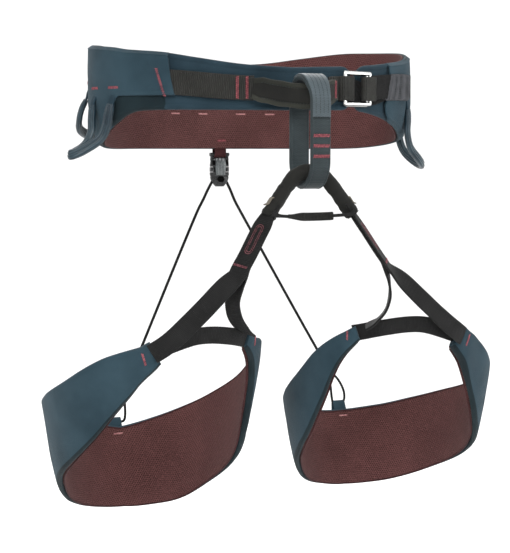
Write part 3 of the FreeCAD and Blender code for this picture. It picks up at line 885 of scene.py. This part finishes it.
def tie_in_line(reach, out, gap):
    """Stations along the tie-in loop, moved outward."""
    points = []
    for x in steps(-reach, reach, 28):
        y, z = smooth(TIE_ROWS, x)
        ahead, behind = smooth(TIE_ROWS, min(x + 0.5, 40)), smooth(TIE_ROWS, max(x - 0.5, -40))
        slope = math.atan2(ahead[0] - behind[0], 1.0)
        points.append(V((x, y, z)) + V((math.sin(slope), -math.cos(slope), 0)) * out)
    return line(points, UP, gap)


def add_tie_in():
    core = sweep(tie_in_line(39.5, -0.7, RIB / 4), ribbed(17, 1.8))
    single("tie_in_strap", core, BLACK, "black_webbing", "tie_in_webbing")

    def shape(run, total):
        near = min(run, total - run)
        height = 20.0 - 3.0 * (1 - ease(near, 0, 9)) + 0.5 * math.sin(run / 3.1)
        bead = 1.5 * ease(near, 0, 7)
        full = section(height, 0.55, 0.5, 0.6, hem=4.0, count=6)
        half = height / 2
        return [(a, b + bead * math.exp(-((half - abs(a) - 1.7) / 1.25) ** 2)) for a, b in full]

    stations = tie_in_line(36.2, 1.1, 0.8)
    lips = lambda i, j, count, size: 1 if min(j, abs(size // 2 - j), size - j) < 7 else 0
    make("tie_in_sleeve_piped", [(sweep(stations, shape), False, lips)], [SLEEVE, LIP],
         slot="wear_sleeve", stands_for=["tie_in_sleeve"])
    skins = []
    sewn = stations[10:-10]
    for side in (-1, 1):
        row = [place + UP * side * 6.0 + out * 0.75 for place, _, _, out, _ in sewn]
        skins += stitches(row, [s[3] for s in sewn], length=1.3, gap=2.4, radius=0.16)
    threads("tie_in_stitches", skins, GREY_THREAD)

    def place(a, b, out):
        y, z = smooth(TIE_ROWS, 35.5 + b)
        return V((35.5 + b, y - 2.4 - out, z + a))
    threads("tie_in_bartack", zigzag(place, 14, 3.0), PINK)


add_tie_in()


# ---- belay loop ----
def belay_ring(radius, count=26):
    """Points round the belay loop from its top, over the front and back up."""
    high = [(BELAY_HIGH, t) for t in steps(0, math.pi, count)]
    low = [(BELAY_LOW, t) for t in steps(math.pi, 2 * math.pi, count)]
    bend = [[V((0, BELAY_Y + radius * math.cos(t), z + radius * math.sin(t))) for z, t in turn]
            for turn in (high, low)]
    down = [V((0, BELAY_Y - radius, z)) for z in steps(BELAY_HIGH, BELAY_LOW, 8)[1:-1]]
    up = [V((0, BELAY_Y + radius, z)) for z in steps(BELAY_LOW, BELAY_HIGH, 8)[1:-1]]
    return bend[0] + down + bend[1] + up


def add_belay_loop():
    def wide_at(z):
        return 17.0 + 3.4 * ease(z, -8, 9)

    rings = []
    for station in line(belay_ring(BELAY_MIDDLE), SIDEWAYS, 0.8, closed=True):
        half = 1.95 + 0.12 * math.cos(2 * math.pi * station[4] / 1.1)
        rings.append(ring_at(station, section(wide_at(station[0].z), half, half, 1.6, hem=2.2, count=4)))
    single("belay_loop_strap", rings, BELAY, "belay_webbing", "belay_loop_webbing", closed=True,
           body="belay_loop")

    points = belay_ring(BELAY_MIDDLE + 2.45)[8:]
    upper = [p for p in points if p.y < BELAY_Y + 12 and p.z > -25.5][:40]
    stations = line(upper, SIDEWAYS, 0.8)
    rings = [ring_at(s, section(wide_at(s[0].z) - 1.6, 0.75, 0.4, 0.7, count=4)) for s in stations]
    single("belay_loop_outer_layer", rings, BELAY_LIGHT, "belay_webbing", body="belay_loop")
    sign = 1 if stations[len(stations) // 2][3].y < 0 else -1
    sewn = stations[4:-3]
    skins = []
    for x in (-5.2, -1.6, 1.6, 5.2):
        row = [place + V((x, 0, 0)) + out * 0.75 * sign for place, _, _, out, _ in sewn]
        skins += stitches(row, [s[3] * sign for s in sewn], length=1.5, gap=2.2, radius=0.17)
    front = BELAY_Y - BELAY_MIDDLE
    row = [V((x, front - 3.3, -23.6)) for x in steps(-6.5, 6.5, 12)]
    skins += stitches(row, [-BACKWARD] * len(row), length=1.4, gap=1.9, radius=0.2)
    threads("belay_loop_stitches", skins, GREY_THREAD, body="belay_loop")
    skins = []
    for z in (-38, -46, -54):
        skins += zigzag(lambda a, b, out: V((a, front - 2.1 - out, z + b)), 13.5, 2.9, pitch=0.7)
    threads("belay_loop_bartack_threads", skins, PINK, "belay_loop_bartacks", body="belay_loop")


add_belay_loop()


# ---- lower tie-in arch, links to the legs and cross strap ----
ARCH_HALF = [(0, -119, -65.8), (11.5, -119, -69.2), (21.5, -119.6, -79.5), (31, -120.8, -92.5),
             (37.5, -122.0, -101)]
ARCH_TAB = [(32.3, -121, -86.5), (33.8, -121, -86.7), (35.5, -121.1, -89.0), (37.0, -121.3, -91.0),
            (39.4, -121.5, -92.0)]


def add_arch():
    def shape(run, total):
        near = min(run, total - run)
        swell = 1 + 0.10 * wobble(run, 3, 0, 7) + 0.06 * wobble(run, 9, 0, 2.6)
        swell += 0.1 * math.exp(-((near - 3) / 3) ** 2)
        points = []
        for a, b in oval(4.5 * swell, 5.6 * swell, 28):
            grain = 1 + 0.045 * wobble(a * 3, b * 3, run, 5)
            seam = 1 + 0.16 * math.exp(-((a / 1.1) ** 2)) * (b < 0)
            points.append((a * grain, b * grain * seam))
        return points

    rings = sweep(line(both_ways(ARCH_HALF), BACKWARD, 1.2), shape)
    turned_in = []
    for end in (rings[0], rings[-1]):
        middle = sum(end, V()) / len(end)
        turned_in.append([middle.lerp(p, 0.72) for p in end])
    rings = [turned_in[0], *rings[:-1], turned_in[1], rings[-1]]
    single("arch_sleeve", rings, SLEEVE, "wear_sleeve", "lower_tie_in_sleeve", "lower_tie_in_webbing")
    for side in ("left", "right"):
        stations = line([mirror(p, side) for p in ARCH_TAB], BACKWARD, 0.5)
        single(f"arch_tab_{side}", sweep(stations, section(5.4, 0.45, 0.45, 0.4, count=3)), BEIGE,
               "wear_sleeve")


LINK = [(31, -120.6, -92), (37, -121.8, -100.5), (46, -124.5, -114), (56, -127.8, -130), NODE,
        (67, -131.2, -148)]


def add_links():
    for side in ("left", "right"):
        points = [mirror(p, side) for p in LINK]
        across = mirror(NODE_ACROSS, side)
        middle = line(points, across, RIB / 4)
        skins = []
        for layer in (-0.95, 0.95):
            shifted = [(p + out * layer, along, wide, out, run) for p, along, wide, out, run in middle]
            narrow = lambda run, total: ribbed(16 - 5.5 * (1 - ease(run, 4, 22)), 1.6, 0.1)(run, total)
            skins.append((sweep(shifted, narrow), False))
        bend = ("waist_belt", f"{side}_leg", points[2], points[4])
        make(f"leg_link_{side}", skins, [BLACK_FINE], slot="black_webbing", across=bend,
             stands_for=["leg_link_webbing"] if side == "left" else [])
        add_link_stitches(side, middle, bend)


def add_link_stitches(side, middle, bend):
    """The long oval of stitching on each link, and the bartack at its lower end."""
    total = middle[-1][4]

    def on_link(run, across, out, face):
        k = min(range(len(middle)), key=lambda n: abs(middle[n][4] - run))
        place, along, wide, outward, at = middle[k]
        return place + along * (run - at) + wide * across + outward * (1.76 + out) * face

    skins = []
    for face in (-1, 1):
        for half, reach in ((3.4, 13.2), (1.9, 11.6)):
            ring = [(33.5 + math.copysign(reach - half, math.cos(t)) + half * math.cos(t),
                     half * math.sin(t)) for t in steps(0, 2 * math.pi, 64)[:-1]]
            dense = []
            for a, b in zip(ring, ring[1:] + ring[:1]):
                pieces = max(1, round(math.hypot(b[0] - a[0], b[1] - a[1]) / 0.8))
                dense += [(a[0] + (b[0] - a[0]) * i / pieces, a[1] + (b[1] - a[1]) * i / pieces)
                          for i in range(pieces)]
            zig = [on_link(r, c + (0.35 if i % 2 else -0.35), 0.05 * (i % 2), face)
                   for i, (r, c) in enumerate(dense)]
            skins.append((wire(zig, 0.2, 5, closed=True), True))
        skins += zigzag(lambda a, b, out: on_link(total - 9.5 + b, a, out - 0.05, face), 13, 2.2)
    # the link stitching is the pink thread in painted shade
    threads(f"link_stitching_{side}", skins, PINK_SHADED, across=bend)


def add_cross_strap():
    points = [V((-36, -129.4, -98.5)), V((-30, -130.1, -100.6)), V((-12, -130.5, -101.5)),
              V((8, -130.5, -101.4)), V((30, -130.1, -100.4)), V((36, -129.4, -98.3))]
    rings = sweep(line(points, UP, 0.7), lambda run, total: section(
        2.6 + 2.2 * (1 - ease(min(run, total - run), 0, 8)), 0.8, 0.8, 0.7, count=2))
    single("cross_strap_cord", rings, BLACK_FINE, "black_webbing", "cross_strap")
    points = [V((-23, -130.4, -101.1)), V((-18, -130.5, -101.4)), V((-4, -130.6, -101.7)),
              V((11, -130.6, -101.5)), V((15, -130.5, -101.3))]
    rings = sweep(line(points, UP, 0.6), lambda run, total: section(
        3.4 + 3.3 * ease(run, 0, 13), 1.7 + 0.1 * math.sin(run * 2.2), 1.7, 1.4, count=3))
    single("cross_strap_cover", rings, SLEEVE, "wear_sleeve", "cross_strap_sleeve")


add_arch()
add_links()
add_cross_strap()


# ---- waist buckle ----
def plate(half_wide, half_tall, bar, thick, depth, lean=0.0):
    """A rounded rectangular frame in the buckle's plane, as rings round its outline."""
    outline, radius = [], 0.7
    for cx, cz, start in ((1, 1, 0), (-1, 1, 90), (-1, -1, 180), (1, -1, 270)):
        for t in steps(start, start + 90, 6):
            c, s = math.cos(math.radians(t)), math.sin(math.radians(t))
            outline.append((cx * (half_wide - bar / 2 - radius) + radius * c,
                            cz * (half_tall - bar / 2 - radius) + radius * s, c, s))
    rings = []
    for x, z, c, s in outline:
        ring = []
        for a, b in oval(bar / 2, thick / 2, 14):
            a = math.copysign(abs(a / (bar / 2)) ** 0.8 * bar / 2, a)
            ring.append(buckle_point(x + c * a, z + s * a + lean, depth + b))
        rings.append(ring)
    return rings


def add_buckle():
    single("buckle_outer_frame", plate(15.4, 14.3, 3.2, 2.5, 3.4), STEEL, "buckle_metal",
           "buckle_frame", closed=True)
    single("buckle_inner_frame", plate(12.6, 14.0, 2.2, 1.8, 2.0, lean=-1.0), STEEL, "buckle_metal",
           "buckle_slider", closed=True, body="buckle_slider")


def folded(side):
    """Webbing folded round one end bar of the buckle, as a closed ring."""
    middle, radius, half = side * 12.2, 2.25, 4.35
    points = []
    for start, shift in ((-90, half), (90, -half)):
        for t in steps(math.radians(start), math.radians(start + 180), 8):
            points.append(buckle_point(middle + side * (shift + radius * math.cos(t)), 0,
                                       3.75 + radius * math.sin(t)))
    return strap(points, UP, 20, 1.7, closed=True)


def add_buckle_webbing():
    points = [buckle_point(x, 0, 1.7 - 0.7 * ease(-x, 20, 30)) for x in (-28, -24, -20.5, -17)]
    points[0] += V((0, 0, -0.6))
    make("buckle_fixed_strap", [(folded(-1), True), (strap(points, UP, 19.5, 1.8), False)], [BLACK],
         slot="black_webbing", stands_for=["buckle_webbing"])
    rows = [(29.6, 12.4), (31.5, 12.6), (34, 11.8), (39, 10.4), (43, 9.9), (60, 9.9)]
    tail = [belt_point(a, webbing_middle(a), smooth(rows, a)[0] + 0.4) for a in steps(29.8, 61, 12)]
    under = [belt_point(a, webbing_middle(a) - 5.0 * ease(a, 20, 28) * (1 - ease(a, 31, 44)),
                        6.6 + 1.45 * ease(a, 28, 36) - 0.5 * ease(a, 52, 57))
             for a in steps(17, 57, 16)]
    # the tail and the run beneath it take the black webbing in painted shadow
    skins = [(folded(1), True), (strap(tail, UP, 20, 1.6), False, lambda *at: 1),
             (strap(under, UP, 20, 1.3), False, lambda *at: 1)]
    bend = ("waist_belt", "belt_left", belt_point(31, 0, 9), belt_point(52, 0, 9))
    make("adjusting_strap", skins, [BLACK, BLACK_SHADE], slot="black_webbing", across=bend,
         stands_for=["adjust_strap"])


def add_keeper():
    """The elastic band round the strap and its tail, with a leaning front edge."""
    count = 104

    def place(i, a, b):
        share = i / count
        angle = KEEPER[0] - 3.0 + (KEEPER[1] - KEEPER[0] + 2.5) * share
        end = 1 - ease(min(i, count - i), 0, 6)
        lean = a / 12.5 * 1.5 * (1 - share)
        return belt_point(angle + lean, webbing_middle(angle) - 0.9 + a * (1 - 0.03 * end),
                          10.45 + b * (1 - 0.12 * end))

    rings = []
    for i in range(count + 1):
        rib = 0.16 * math.cos(i * 2 * math.pi / 6)
        outline = section(22.9 + 0.3 * wobble(i, 0, 0, 11), 2.65 + rib, 2.5, 2.3, crown=0.35, count=5)
        rings.append([place(i, a, b) for a, b in outline])
    single("strap_keeper_elastic", rings, KEEPER_ELASTIC, "elastic", "strap_keeper", body="strap_keeper")
    skins = []
    for i in (18, 36, 42):
        row = [place(i, a, 3.0 + 0.3 * (1 - (a / 12.75) ** 2)) for a in steps(-9.5, 9.5, 24)]
        skins += stitches(row, [(place(i, 0, 9) - place(i, 0, 0)).normalized()] * len(row),
                          length=0.9, gap=2.0, radius=0.22)
    threads("strap_keeper_stitches", skins, GREY_THREAD, body="strap_keeper")


add_buckle()
add_buckle_webbing()
add_keeper()


# ---- gear loops and haul loop ----
HAUL_HALF = [(0, 94.6, -42), (9, 94, -38), (17, 92, -26), (19, 89.4, -10), (19, 88.6, 4), (19, 86.8, 6)]


def add_gear_loops():
    def tube(run, total):
        slim = 1 - 0.22 * (1 - ease(min(run, total - run), 0, 5))
        profile = section(8.6 * slim, 2.3 * slim, 2.3 * slim, 2.1 * slim, count=4)
        return [(a, b + 0.22 * math.cos(a * 2.4) * (abs(a) < 3.4)) for a, b in profile]

    for place, rows in (("front", GEAR_FRONT), ("rear", GEAR_REAR)):
        for side, (turn, span, reach, drop) in GEAR_HANG[place].items():
            body = f"{place}_gear_loop_{side}"
            first, base, top = rows[1]
            points = [mirror(belt_point(first + (angle - first) * span + turn, top + (z - top) * drop,
                                        base + (depth - base) * reach), side)
                      for angle, depth, z in rows]
            widths = lying(points, lambda p: V((p.x / WAIST_X**2, p.y / WAIST_Y**2, 0)))
            core = sweep(line(points, widths, 0.8), section(6.0, 0.9, 0.9, 0.8, count=3))
            # the loop's webbing takes the teal's painted-shade copy
            single(f"{body}_webbing", core, TEAL_SHADED_COPY, "outer_fabric",
                   f"{place}_gear_loop_core_{side}", body=body)
            single(f"{body}_moulding", sweep(line(points[2:-2], widths[2:-2], 1.2), tube), GEAR,
                   "gear_loop_plastic", body, body=body)


def add_haul_loop():
    points = both_ways(HAUL_HALF)
    rings = strap(points, lying(points, lambda p: BACKWARD), 7.4, 2.0)
    single("haul_loop_webbing", rings, BLACK, "black_webbing", "haul_loop", body="haul_loop")
    threads("haul_loop_bartacks", belt_tack(180 - 7.7, 7.5, 9.3, 8.5, 2.2)
            + belt_tack(180 + 7.7, 7.5, 9.3, 8.5, 2.2), PINK)


add_gear_loops()
add_haul_loop()


# ---- riser buckle ----
RISER_Y = 85.7  # its middle, front to back


def block(levels, soft, middle=RISER_Y, aside=0.0):
    """Rounded four-sided rings through levels of (z, half width, half depth)."""
    rings = []
    for z, half_x, half_y in levels:
        ring = []
        for t in steps(0, 2 * math.pi, 32)[:-1]:
            c, s = math.cos(t), math.sin(t)
            ring.append(V((math.copysign(abs(c) ** (2 / soft), c) * half_x + aside,
                           middle + math.copysign(abs(s) ** (2 / soft), s) * half_y, z)))
        rings.append(ring)
    return rings


def add_riser_buckle():
    tab = [V((0, y, z)) for y, z in ((88.6, -36), (89.2, -46), (88.6, -53.2), (85.7, -56.2),
                                     (83.0, -53.2), (82.4, -47), (82.6, -38))]
    rings = sweep(line(tab, SIDEWAYS, 0.8), section(11.2, 0.75, 0.75, 0.7, count=4))
    single("riser_tab_cloth", rings, MAROON_CLOTH, "riser_fabric", "riser_tab")

    bar = wire([V((x, RISER_Y, -53.4)) for x in (-9.4, -8.9, -7, 0, 7, 8.9, 9.4)], 1.75, 14)
    posts = [block([(-53, 1.3, 1.7), (-56, 1.3, 2.2), (-59, 1.5, 2.8)], 3, aside=x) for x in (-7.4, 7.4)]
    shoulders = block([(-56.2, 6.0, 2.6), (-57.2, 7.6, 3.4), (-59.5, 8.6, 3.9), (-62.5, 9.1, 4.1),
                       (-64.4, 9.2, 4.1), (-64.8, 8.9, 3.9)], 3)
    collar = block([(-69.85, 8.9, 3.8), (-70.2, 9.3, 4.1), (-73.0, 9.2, 4.1), (-73.5, 8.4, 3.8)], 3)
    make("riser_buckle_shell", [(rings, False) for rings in (bar, *posts, shoulders, collar)], [PLASTIC],
         slot="moulded_plastic", stands_for=["riser_buckle_socket"])

    skins = []
    for y, out in ((82.0, -1), (89.4, 1)):
        face = []
        for z in steps(-57.0, -72.6, 20):
            half = 4.6 + 0.5 * math.cos((z + 65) / 8 * 1.6)
            flat = -0.9 * ease(z, -60, -56.5)
            ring = []
            for a, b in section(2 * half, 0.7, 0.9, 0.6, count=8):
                groove = 0.32 * math.cos(a * 2.0) * (abs(a) < half - 1)
                ring.append(V((a, y + out * (b + flat + (groove if b > 0 else 0)), z)))
            face.append(ring)
        skins.append((face, False))
    # the ribbed faces take the grey copy of the plastic as a painted highlight
    make("riser_buckle_ribs", skins, [PLASTIC_HIGHLIGHT], slot="moulded_plastic")

    nose = block([(-73.3, 8.6, 3.6), (-74.6, 9.0, 3.9), (-77.2, 8.4, 3.8), (-80.0, 6.8, 3.4),
                  (-82.3, 4.9, 2.9), (-83.2, 4.0, 2.1)], 3)
    tongue = block([(-64.5, 1.0, 1.2), (-73.6, 1.2, 1.3)], 4, 85.85)

    def hexagon(radius, y):
        turns = [math.radians(t) for t in range(0, 360, 60)]
        return [V((radius * math.cos(t), y, -76.3 + 0.82 * radius * math.sin(t))) for t in turns]

    mouth = [hexagon(r, y) for r, y in ((5.0, 82.2), (4.9, 81.5), (3.9, 81.4), (3.8, 82.0))]
    make("riser_buckle_nose", [(nose, False), (tongue, False), (mouth, True)], [PLASTIC],
         slot="moulded_plastic", stands_for=["riser_buckle_plug"], sharp=35)
    # near-black plugs in the mouth and the two side windows are painted shade inside them
    skins = [([hexagon(3.95, 81.75), hexagon(3.85, 81.7)], False)]
    for x in (-6.6, 6.6):
        window = []
        for y, *level in ((82.35, -58.6, 0.7, 0.3), (82.1, -59.6, 1.3, 0.3), (82.0, -62.4, 1.4, 0.3),
                          (82.1, -63.4, 0.8, 0.3)):
            window += block([level], 3, y + 0.15, x)
        skins.append((window, False))
    make("riser_buckle_mouth", skins, [HOLLOW_SHADE], slot="moulded_plastic")
    for side, s in (("left", 1), ("right", -1)):
        arm = block([(-73.2, 0.75, 1.2), (-66.8, 0.8, 1.2)], 4, 85.8, s * 5.0)
        pad = block([(-65.1, 1.8, 3.0), (-65.5, 1.9, 3.2), (-69.2, 1.9, 3.2), (-69.5, 1.8, 3.0)], 3,
                    85.8, s * 7.2)
        make(f"riser_prong_arm_{side}", [(arm, False), (pad, False)], [PLASTIC],
             body=f"riser_prong_{side}", slot="moulded_plastic", stands_for=[f"riser_prong_{side}"])


add_riser_buckle()


# ---- leg loops ----
# how much higher each loop hangs, as (upper edge, lower edge), on its outer side and on its inner side
LEG_TILT = {"left": ((-7, -7), (0, 0)), "right": ((8, 8), (14, -8))}
PAD_START, PAD_STOP = 15, 317  # the pad's outer front end and its inner one, in leg degrees
PAD_MIDDLE = 4.4
# the small loop below a riser knot, from the knot down, for a knot that height above its foot
RISER_LOOP = [(0, 0, -1), (-0.4, -1.6, -7), (-0.2, -3.8, -17), (0.2, -5.2, -26.5), (1.6, -5.8, -33.0),
              (5.4, -5.7, -34.4), (10.2, -5.8, -33.6), (13.2, -5.8, -28.5), (12.6, -5.0, -19.5),
              (7.6, -3.0, -8.5), (0.8, 0, -0.6)]
RISER_LOOP_FOOT, RISER_LOOP_DROP = -293.9, 34.4


def leg_edge(angle, side=None):
    top, bottom = smooth(LEG_EDGE, angle)
    if side:
        lean = math.sin(math.radians(angle))
        high, low = LEG_TILT[side][0 if lean > 0 else 1]
        free = abs(lean) * ease(angle, 16, 45) * (1 - ease(angle, 284, 312))
        if low > 0:
            low *= 1 - ease(angle, 95, 130)
        top, bottom = top + high * free, bottom + low * free
    return top, bottom


def leg_rings(angles, edge, middle, shape, lift, side):
    def place(angle, turned, z, depth):
        top = leg_edge(min(max(angle, PAD_START), PAD_STOP), side)[0]
        return mirror(leg_point(turned, z, depth, top), side)

    return band(angles, edge, middle, shape, lift, place)


def end_lean(angle, z):
    """The slant of the pad's outer front end, and a slight one at its inner end."""
    top, bottom = leg_edge(angle)
    across = share(z, top, bottom)
    return (3.0 * across * (1 - ease(angle, PAD_START, PAD_START + 9))
            - 1.2 * across * ease(angle, PAD_STOP - 9, PAD_STOP))


def pad_ends(angle):
    """How full the pad is: 1 along it, less at its two ends, in thickness."""
    return math.sqrt(min(1, 0.25 + min(angle - PAD_START, PAD_STOP - angle) / 2.5))


def pad_face(angle, width):
    """The pad's outer half thickness and its crown."""
    close = pad_ends(angle)
    return 2.9 * close + 3.6 * (1 - ease(angle, 19, 36)), 1.1 * close * min(1, width / 60)


def pad_drift(angle, z, side):
    """The pad's slow creases."""
    p = leg_point(angle, z, 5, leg_edge(angle, side)[0])
    seed = 40 if side == "left" else 0
    return 0.8 * wobble(p.x + seed, p.y, p.z, 40) + 0.25 * wobble(p.x + seed, p.y, p.z, 11)


def add_leg_pad(side):
    def outline(angle):
        return leg_edge(angle, side)

    def shape(angle, width):
        outer, crown = pad_face(angle, width)
        return section(width, outer, 2.5 * pad_ends(angle), min(3.6, width * 0.22), crown=crown)

    def lift(angle, z, depth):
        return angle + end_lean(angle, z), depth + pad_drift(angle, z, side)

    # faces along the pad's lower rim take the teal in painted shade
    rim = lambda i, j, count, size: 1 if abs(j - size // 2) < 4 else 0
    rings = leg_rings(steps(PAD_START, PAD_STOP, 170), outline, PAD_MIDDLE, shape, lift, side)
    pad = make(f"leg_pad_{side}", [(rings, False, rim)], [TEAL, TEAL_SHADE], body=f"{side}_leg",
               slot="outer_fabric", stands_for=[f"leg_shell_{side}", f"leg_foam_{side}"])

    def edge(angle):
        top, bottom = outline(angle)
        inset = min(1.6, (top - bottom) * 0.06)
        return top - inset + 0.22 * math.sin(angle * 2.6), bottom + inset

    def thin(angle, width):
        return section(width, 0.6, 0.75, min(0.8, width * 0.2), count=10)

    def sink(angle, z, depth):
        top, bottom = outline(angle)
        rim = min(top - z, z - bottom)
        middle = 1 - share(z, top, bottom) ** 2
        p = leg_point(angle, z, 0, top)
        groove = 0.8 * math.exp(-((rim - 4.2) / 0.8) ** 2) * (top - bottom > 30)
        quilt = 0.55 * wobble(*p, 26) + 0.2 * wobble(*p, 8)
        hollow = middle * min(1, (top - bottom) / 60)
        return angle + end_lean(angle, z), depth - hollow + groove + quilt

    rings = leg_rings(steps(PAD_START + 1.5, PAD_STOP - 1.5, 170), edge, 1.15, thin, sink, side)
    single(f"leg_mesh_lining_{side}", rings, MAROON, "inner_mesh", f"leg_liner_{side}",
           body=f"{side}_leg")
    pipes = []
    for which in (0, 1):
        points = []
        for angle in steps(PAD_START + 2, PAD_STOP - 2, 150):
            top, bottom = outline(angle)
            z = (top - 1.0, bottom + 1.0)[which]
            points.append(mirror(leg_point(angle + end_lean(angle, z), z, 0.75, top), side))
        pipes.append((wire(points, 0.62, 8), False))
    make(f"leg_piping_{side}", pipes, [MAROON_CLOTH], body=f"{side}_leg", slot="inner_mesh")


def add_leg_webbing(side):
    angles, level, depth = steps(-46, 19, 16), -195, 2.6
    points = [mirror(leg_point(a, smooth(CROSS, a)[0], depth + 1.2 * ease(a, 5, 15), level), side)
              for a in angles]
    ups = [mirror(leg_point(a, level + 5, depth, level) - leg_point(a, level - 5, depth, level), side)
           for a in angles]
    single(f"leg_cross_strap_{side}", strap(points, ups, 14, 2.0, 0.06), BLACK_FINE, "black_webbing",
           f"leg_cross_webbing_{side}", body=f"{side}_leg")
    for name, rows in (("outer", OUTER_STRAP), ("inner", INNER_STRAP)):
        points, widths = ([mirror(row[k], side) for row in rows] for k in (0, 1))
        single(f"leg_riser_strap_{name}_{side}", strap(points, widths, 16, 2.0, 0.06), BLACK_FINE,
               "black_webbing", f"{name}_leg_strap_{side}", body=f"{side}_leg")


def add_leg_details(side):
    def on_leg(angle, z, depth, lean, inside=False):
        """Places for a bartack on the leg loop; without a depth it lies on the pad's surface."""
        def place(a, b, out):
            along, up = leaning(a, b, lean)
            turned = (angle + math.degrees(along / THIGH_ROUND)) % 360
            top, bottom = leg_edge(turned, side)
            surface = depth
            if depth is None:
                outer, crown = pad_face(turned, top - bottom)
                middle = share(z + up, top, bottom)
                surface = PAD_MIDDLE + outer + crown * (1 - middle**2) + pad_drift(turned, z + up, side)
            far = surface - out if inside else surface + out
            return mirror(leg_point(turned, z + up, far, top), side)
        return place

    body = f"{side}_leg"
    pale = zigzag(on_leg(178, -302, -1.0, 0, inside=True), 9.0, 1.6)
    threads(f"leg_lining_bartack_{side}", pale, PALE, body=body)
    pink = zigzag(on_leg(20.6, -208, None, 74), 9.5, 1.8)
    pink += zigzag(on_leg(-48.4, -202, None, 84), 7.5, 1.7)
    threads(f"leg_bartack_threads_{side}", pink, PINK, f"leg_bartacks_{side}", body=body)
    stations = line([mirror(p, side) for p in LEG_TAB], SIDEWAYS, 0.8)
    single(f"leg_tab_cloth_{side}", sweep(stations, section(12.5, 0.7, 0.7, 0.6, count=3)), TEAL,
           "outer_fabric", f"leg_tab_{side}", body=body)

    knot = KNOT[side]
    stretch = (knot.z - RISER_LOOP_FOOT) / RISER_LOOP_DROP
    loop = [mirror(knot + V((x, y, z * stretch)), side) for x, y, z in RISER_LOOP]
    rings = sweep(line(loop, BACKWARD, 0.8), oval(1.15, 1.15, 10))
    turns = []
    for t in steps(0, 4 * math.pi, 72)[:-1]:
        r = 2.2 + 1.0 * math.cos(1.5 * t)
        step = V((r * math.cos(t), 1.4 * math.sin(1.5 * t), r * math.sin(t) * 1.1))
        turns.append(mirror(knot + step, side))
    tail = [mirror(knot + V(p), side) for p in ((0, -1, 1), (-1.6, -1.6, 3), (-2.4, -2.2, 5.6))]
    ball = wire(turns, 1.2, 9, closed=True)
    make(f"riser_knot_{side}", [(rings, False), (ball, True), (wire(tail, 1.15, 9), False)], [BRAID],
         body=body, slot="riser_elastic", stands_for=[f"cord_knot_{side}"])


for side in ("left", "right"):
    add_leg_pad(side)
    add_leg_webbing(side)
    add_leg_details(side)


# ---- floor and light ----
def add_light(name, place, aim, size, power):
    data = bpy.data.lights.new(name, "AREA")
    data.shape = "DISK"
    data.size = size
    data.energy = power
    lamp = bpy.data.objects.new(name, data)
    lamp.location = V(place)
    lamp.rotation_euler = (V(aim) - V(place)).to_track_quat("-Z", "Y").to_euler()
    bpy.context.collection.objects.link(lamp)


def add_floor():
    """A pale round floor whose rim curves up into a wall, so no horizon shows."""
    level, flat, bend, count = -0.75, 2.4, 2.6, 72
    profile = [(0.02, 0.0), (flat, 0.0)]
    for t in steps(0, math.pi / 2, 12)[1:]:
        profile.append((flat + bend * math.sin(t), bend - bend * math.cos(t)))
    turns = [2 * math.pi * i / count for i in range(count)]
    rings = [[V((r * math.cos(t), r * math.sin(t), level + z)) for t in turns] for r, z in profile]
    verts = [p for ring in rings for p in ring]
    faces = [tuple(reversed(range(count)))]
    for i in range(len(rings) - 1):
        faces += [(i * count + j, i * count + (j + 1) % count,
                   (i + 1) * count + (j + 1) % count, (i + 1) * count + j) for j in range(count)]
    mesh = bpy.data.meshes.new("floor")
    mesh.from_pydata(verts, [], faces)
    mesh.polygons.foreach_set("use_smooth", [True] * len(mesh.polygons))
    floor = bpy.data.objects.new("floor", mesh)
    bpy.context.collection.objects.link(floor)
    g = Graph("pale_floor")
    colour = g.mix(g.noise(3, 2), (0.9, 0.9, 0.9, 1), (0.93, 0.93, 0.93, 1))
    mesh.materials.append(g.finish(colour, 0.9))


def add_studio():
    add_floor()
    aim = (0, 0, -0.15)
    add_light("key", (-1.3, -2.0, 1.6), aim, 1.6, 60)
    add_light("fill", (1.9, -1.7, 0.4), aim, 1.8, 26)
    add_light("back", (0.6, 2.0, 1.5), aim, 1.6, 35)
    world = bpy.data.worlds.new("studio")
    world.use_nodes = True
    world.node_tree.nodes["Background"].inputs[0].default_value = (1, 1, 1, 1)
    world.node_tree.nodes["Background"].inputs[1].default_value = 1.0
    bpy.context.scene.world = world
    bpy.context.scene.view_settings.view_transform = "Standard"


add_studio()
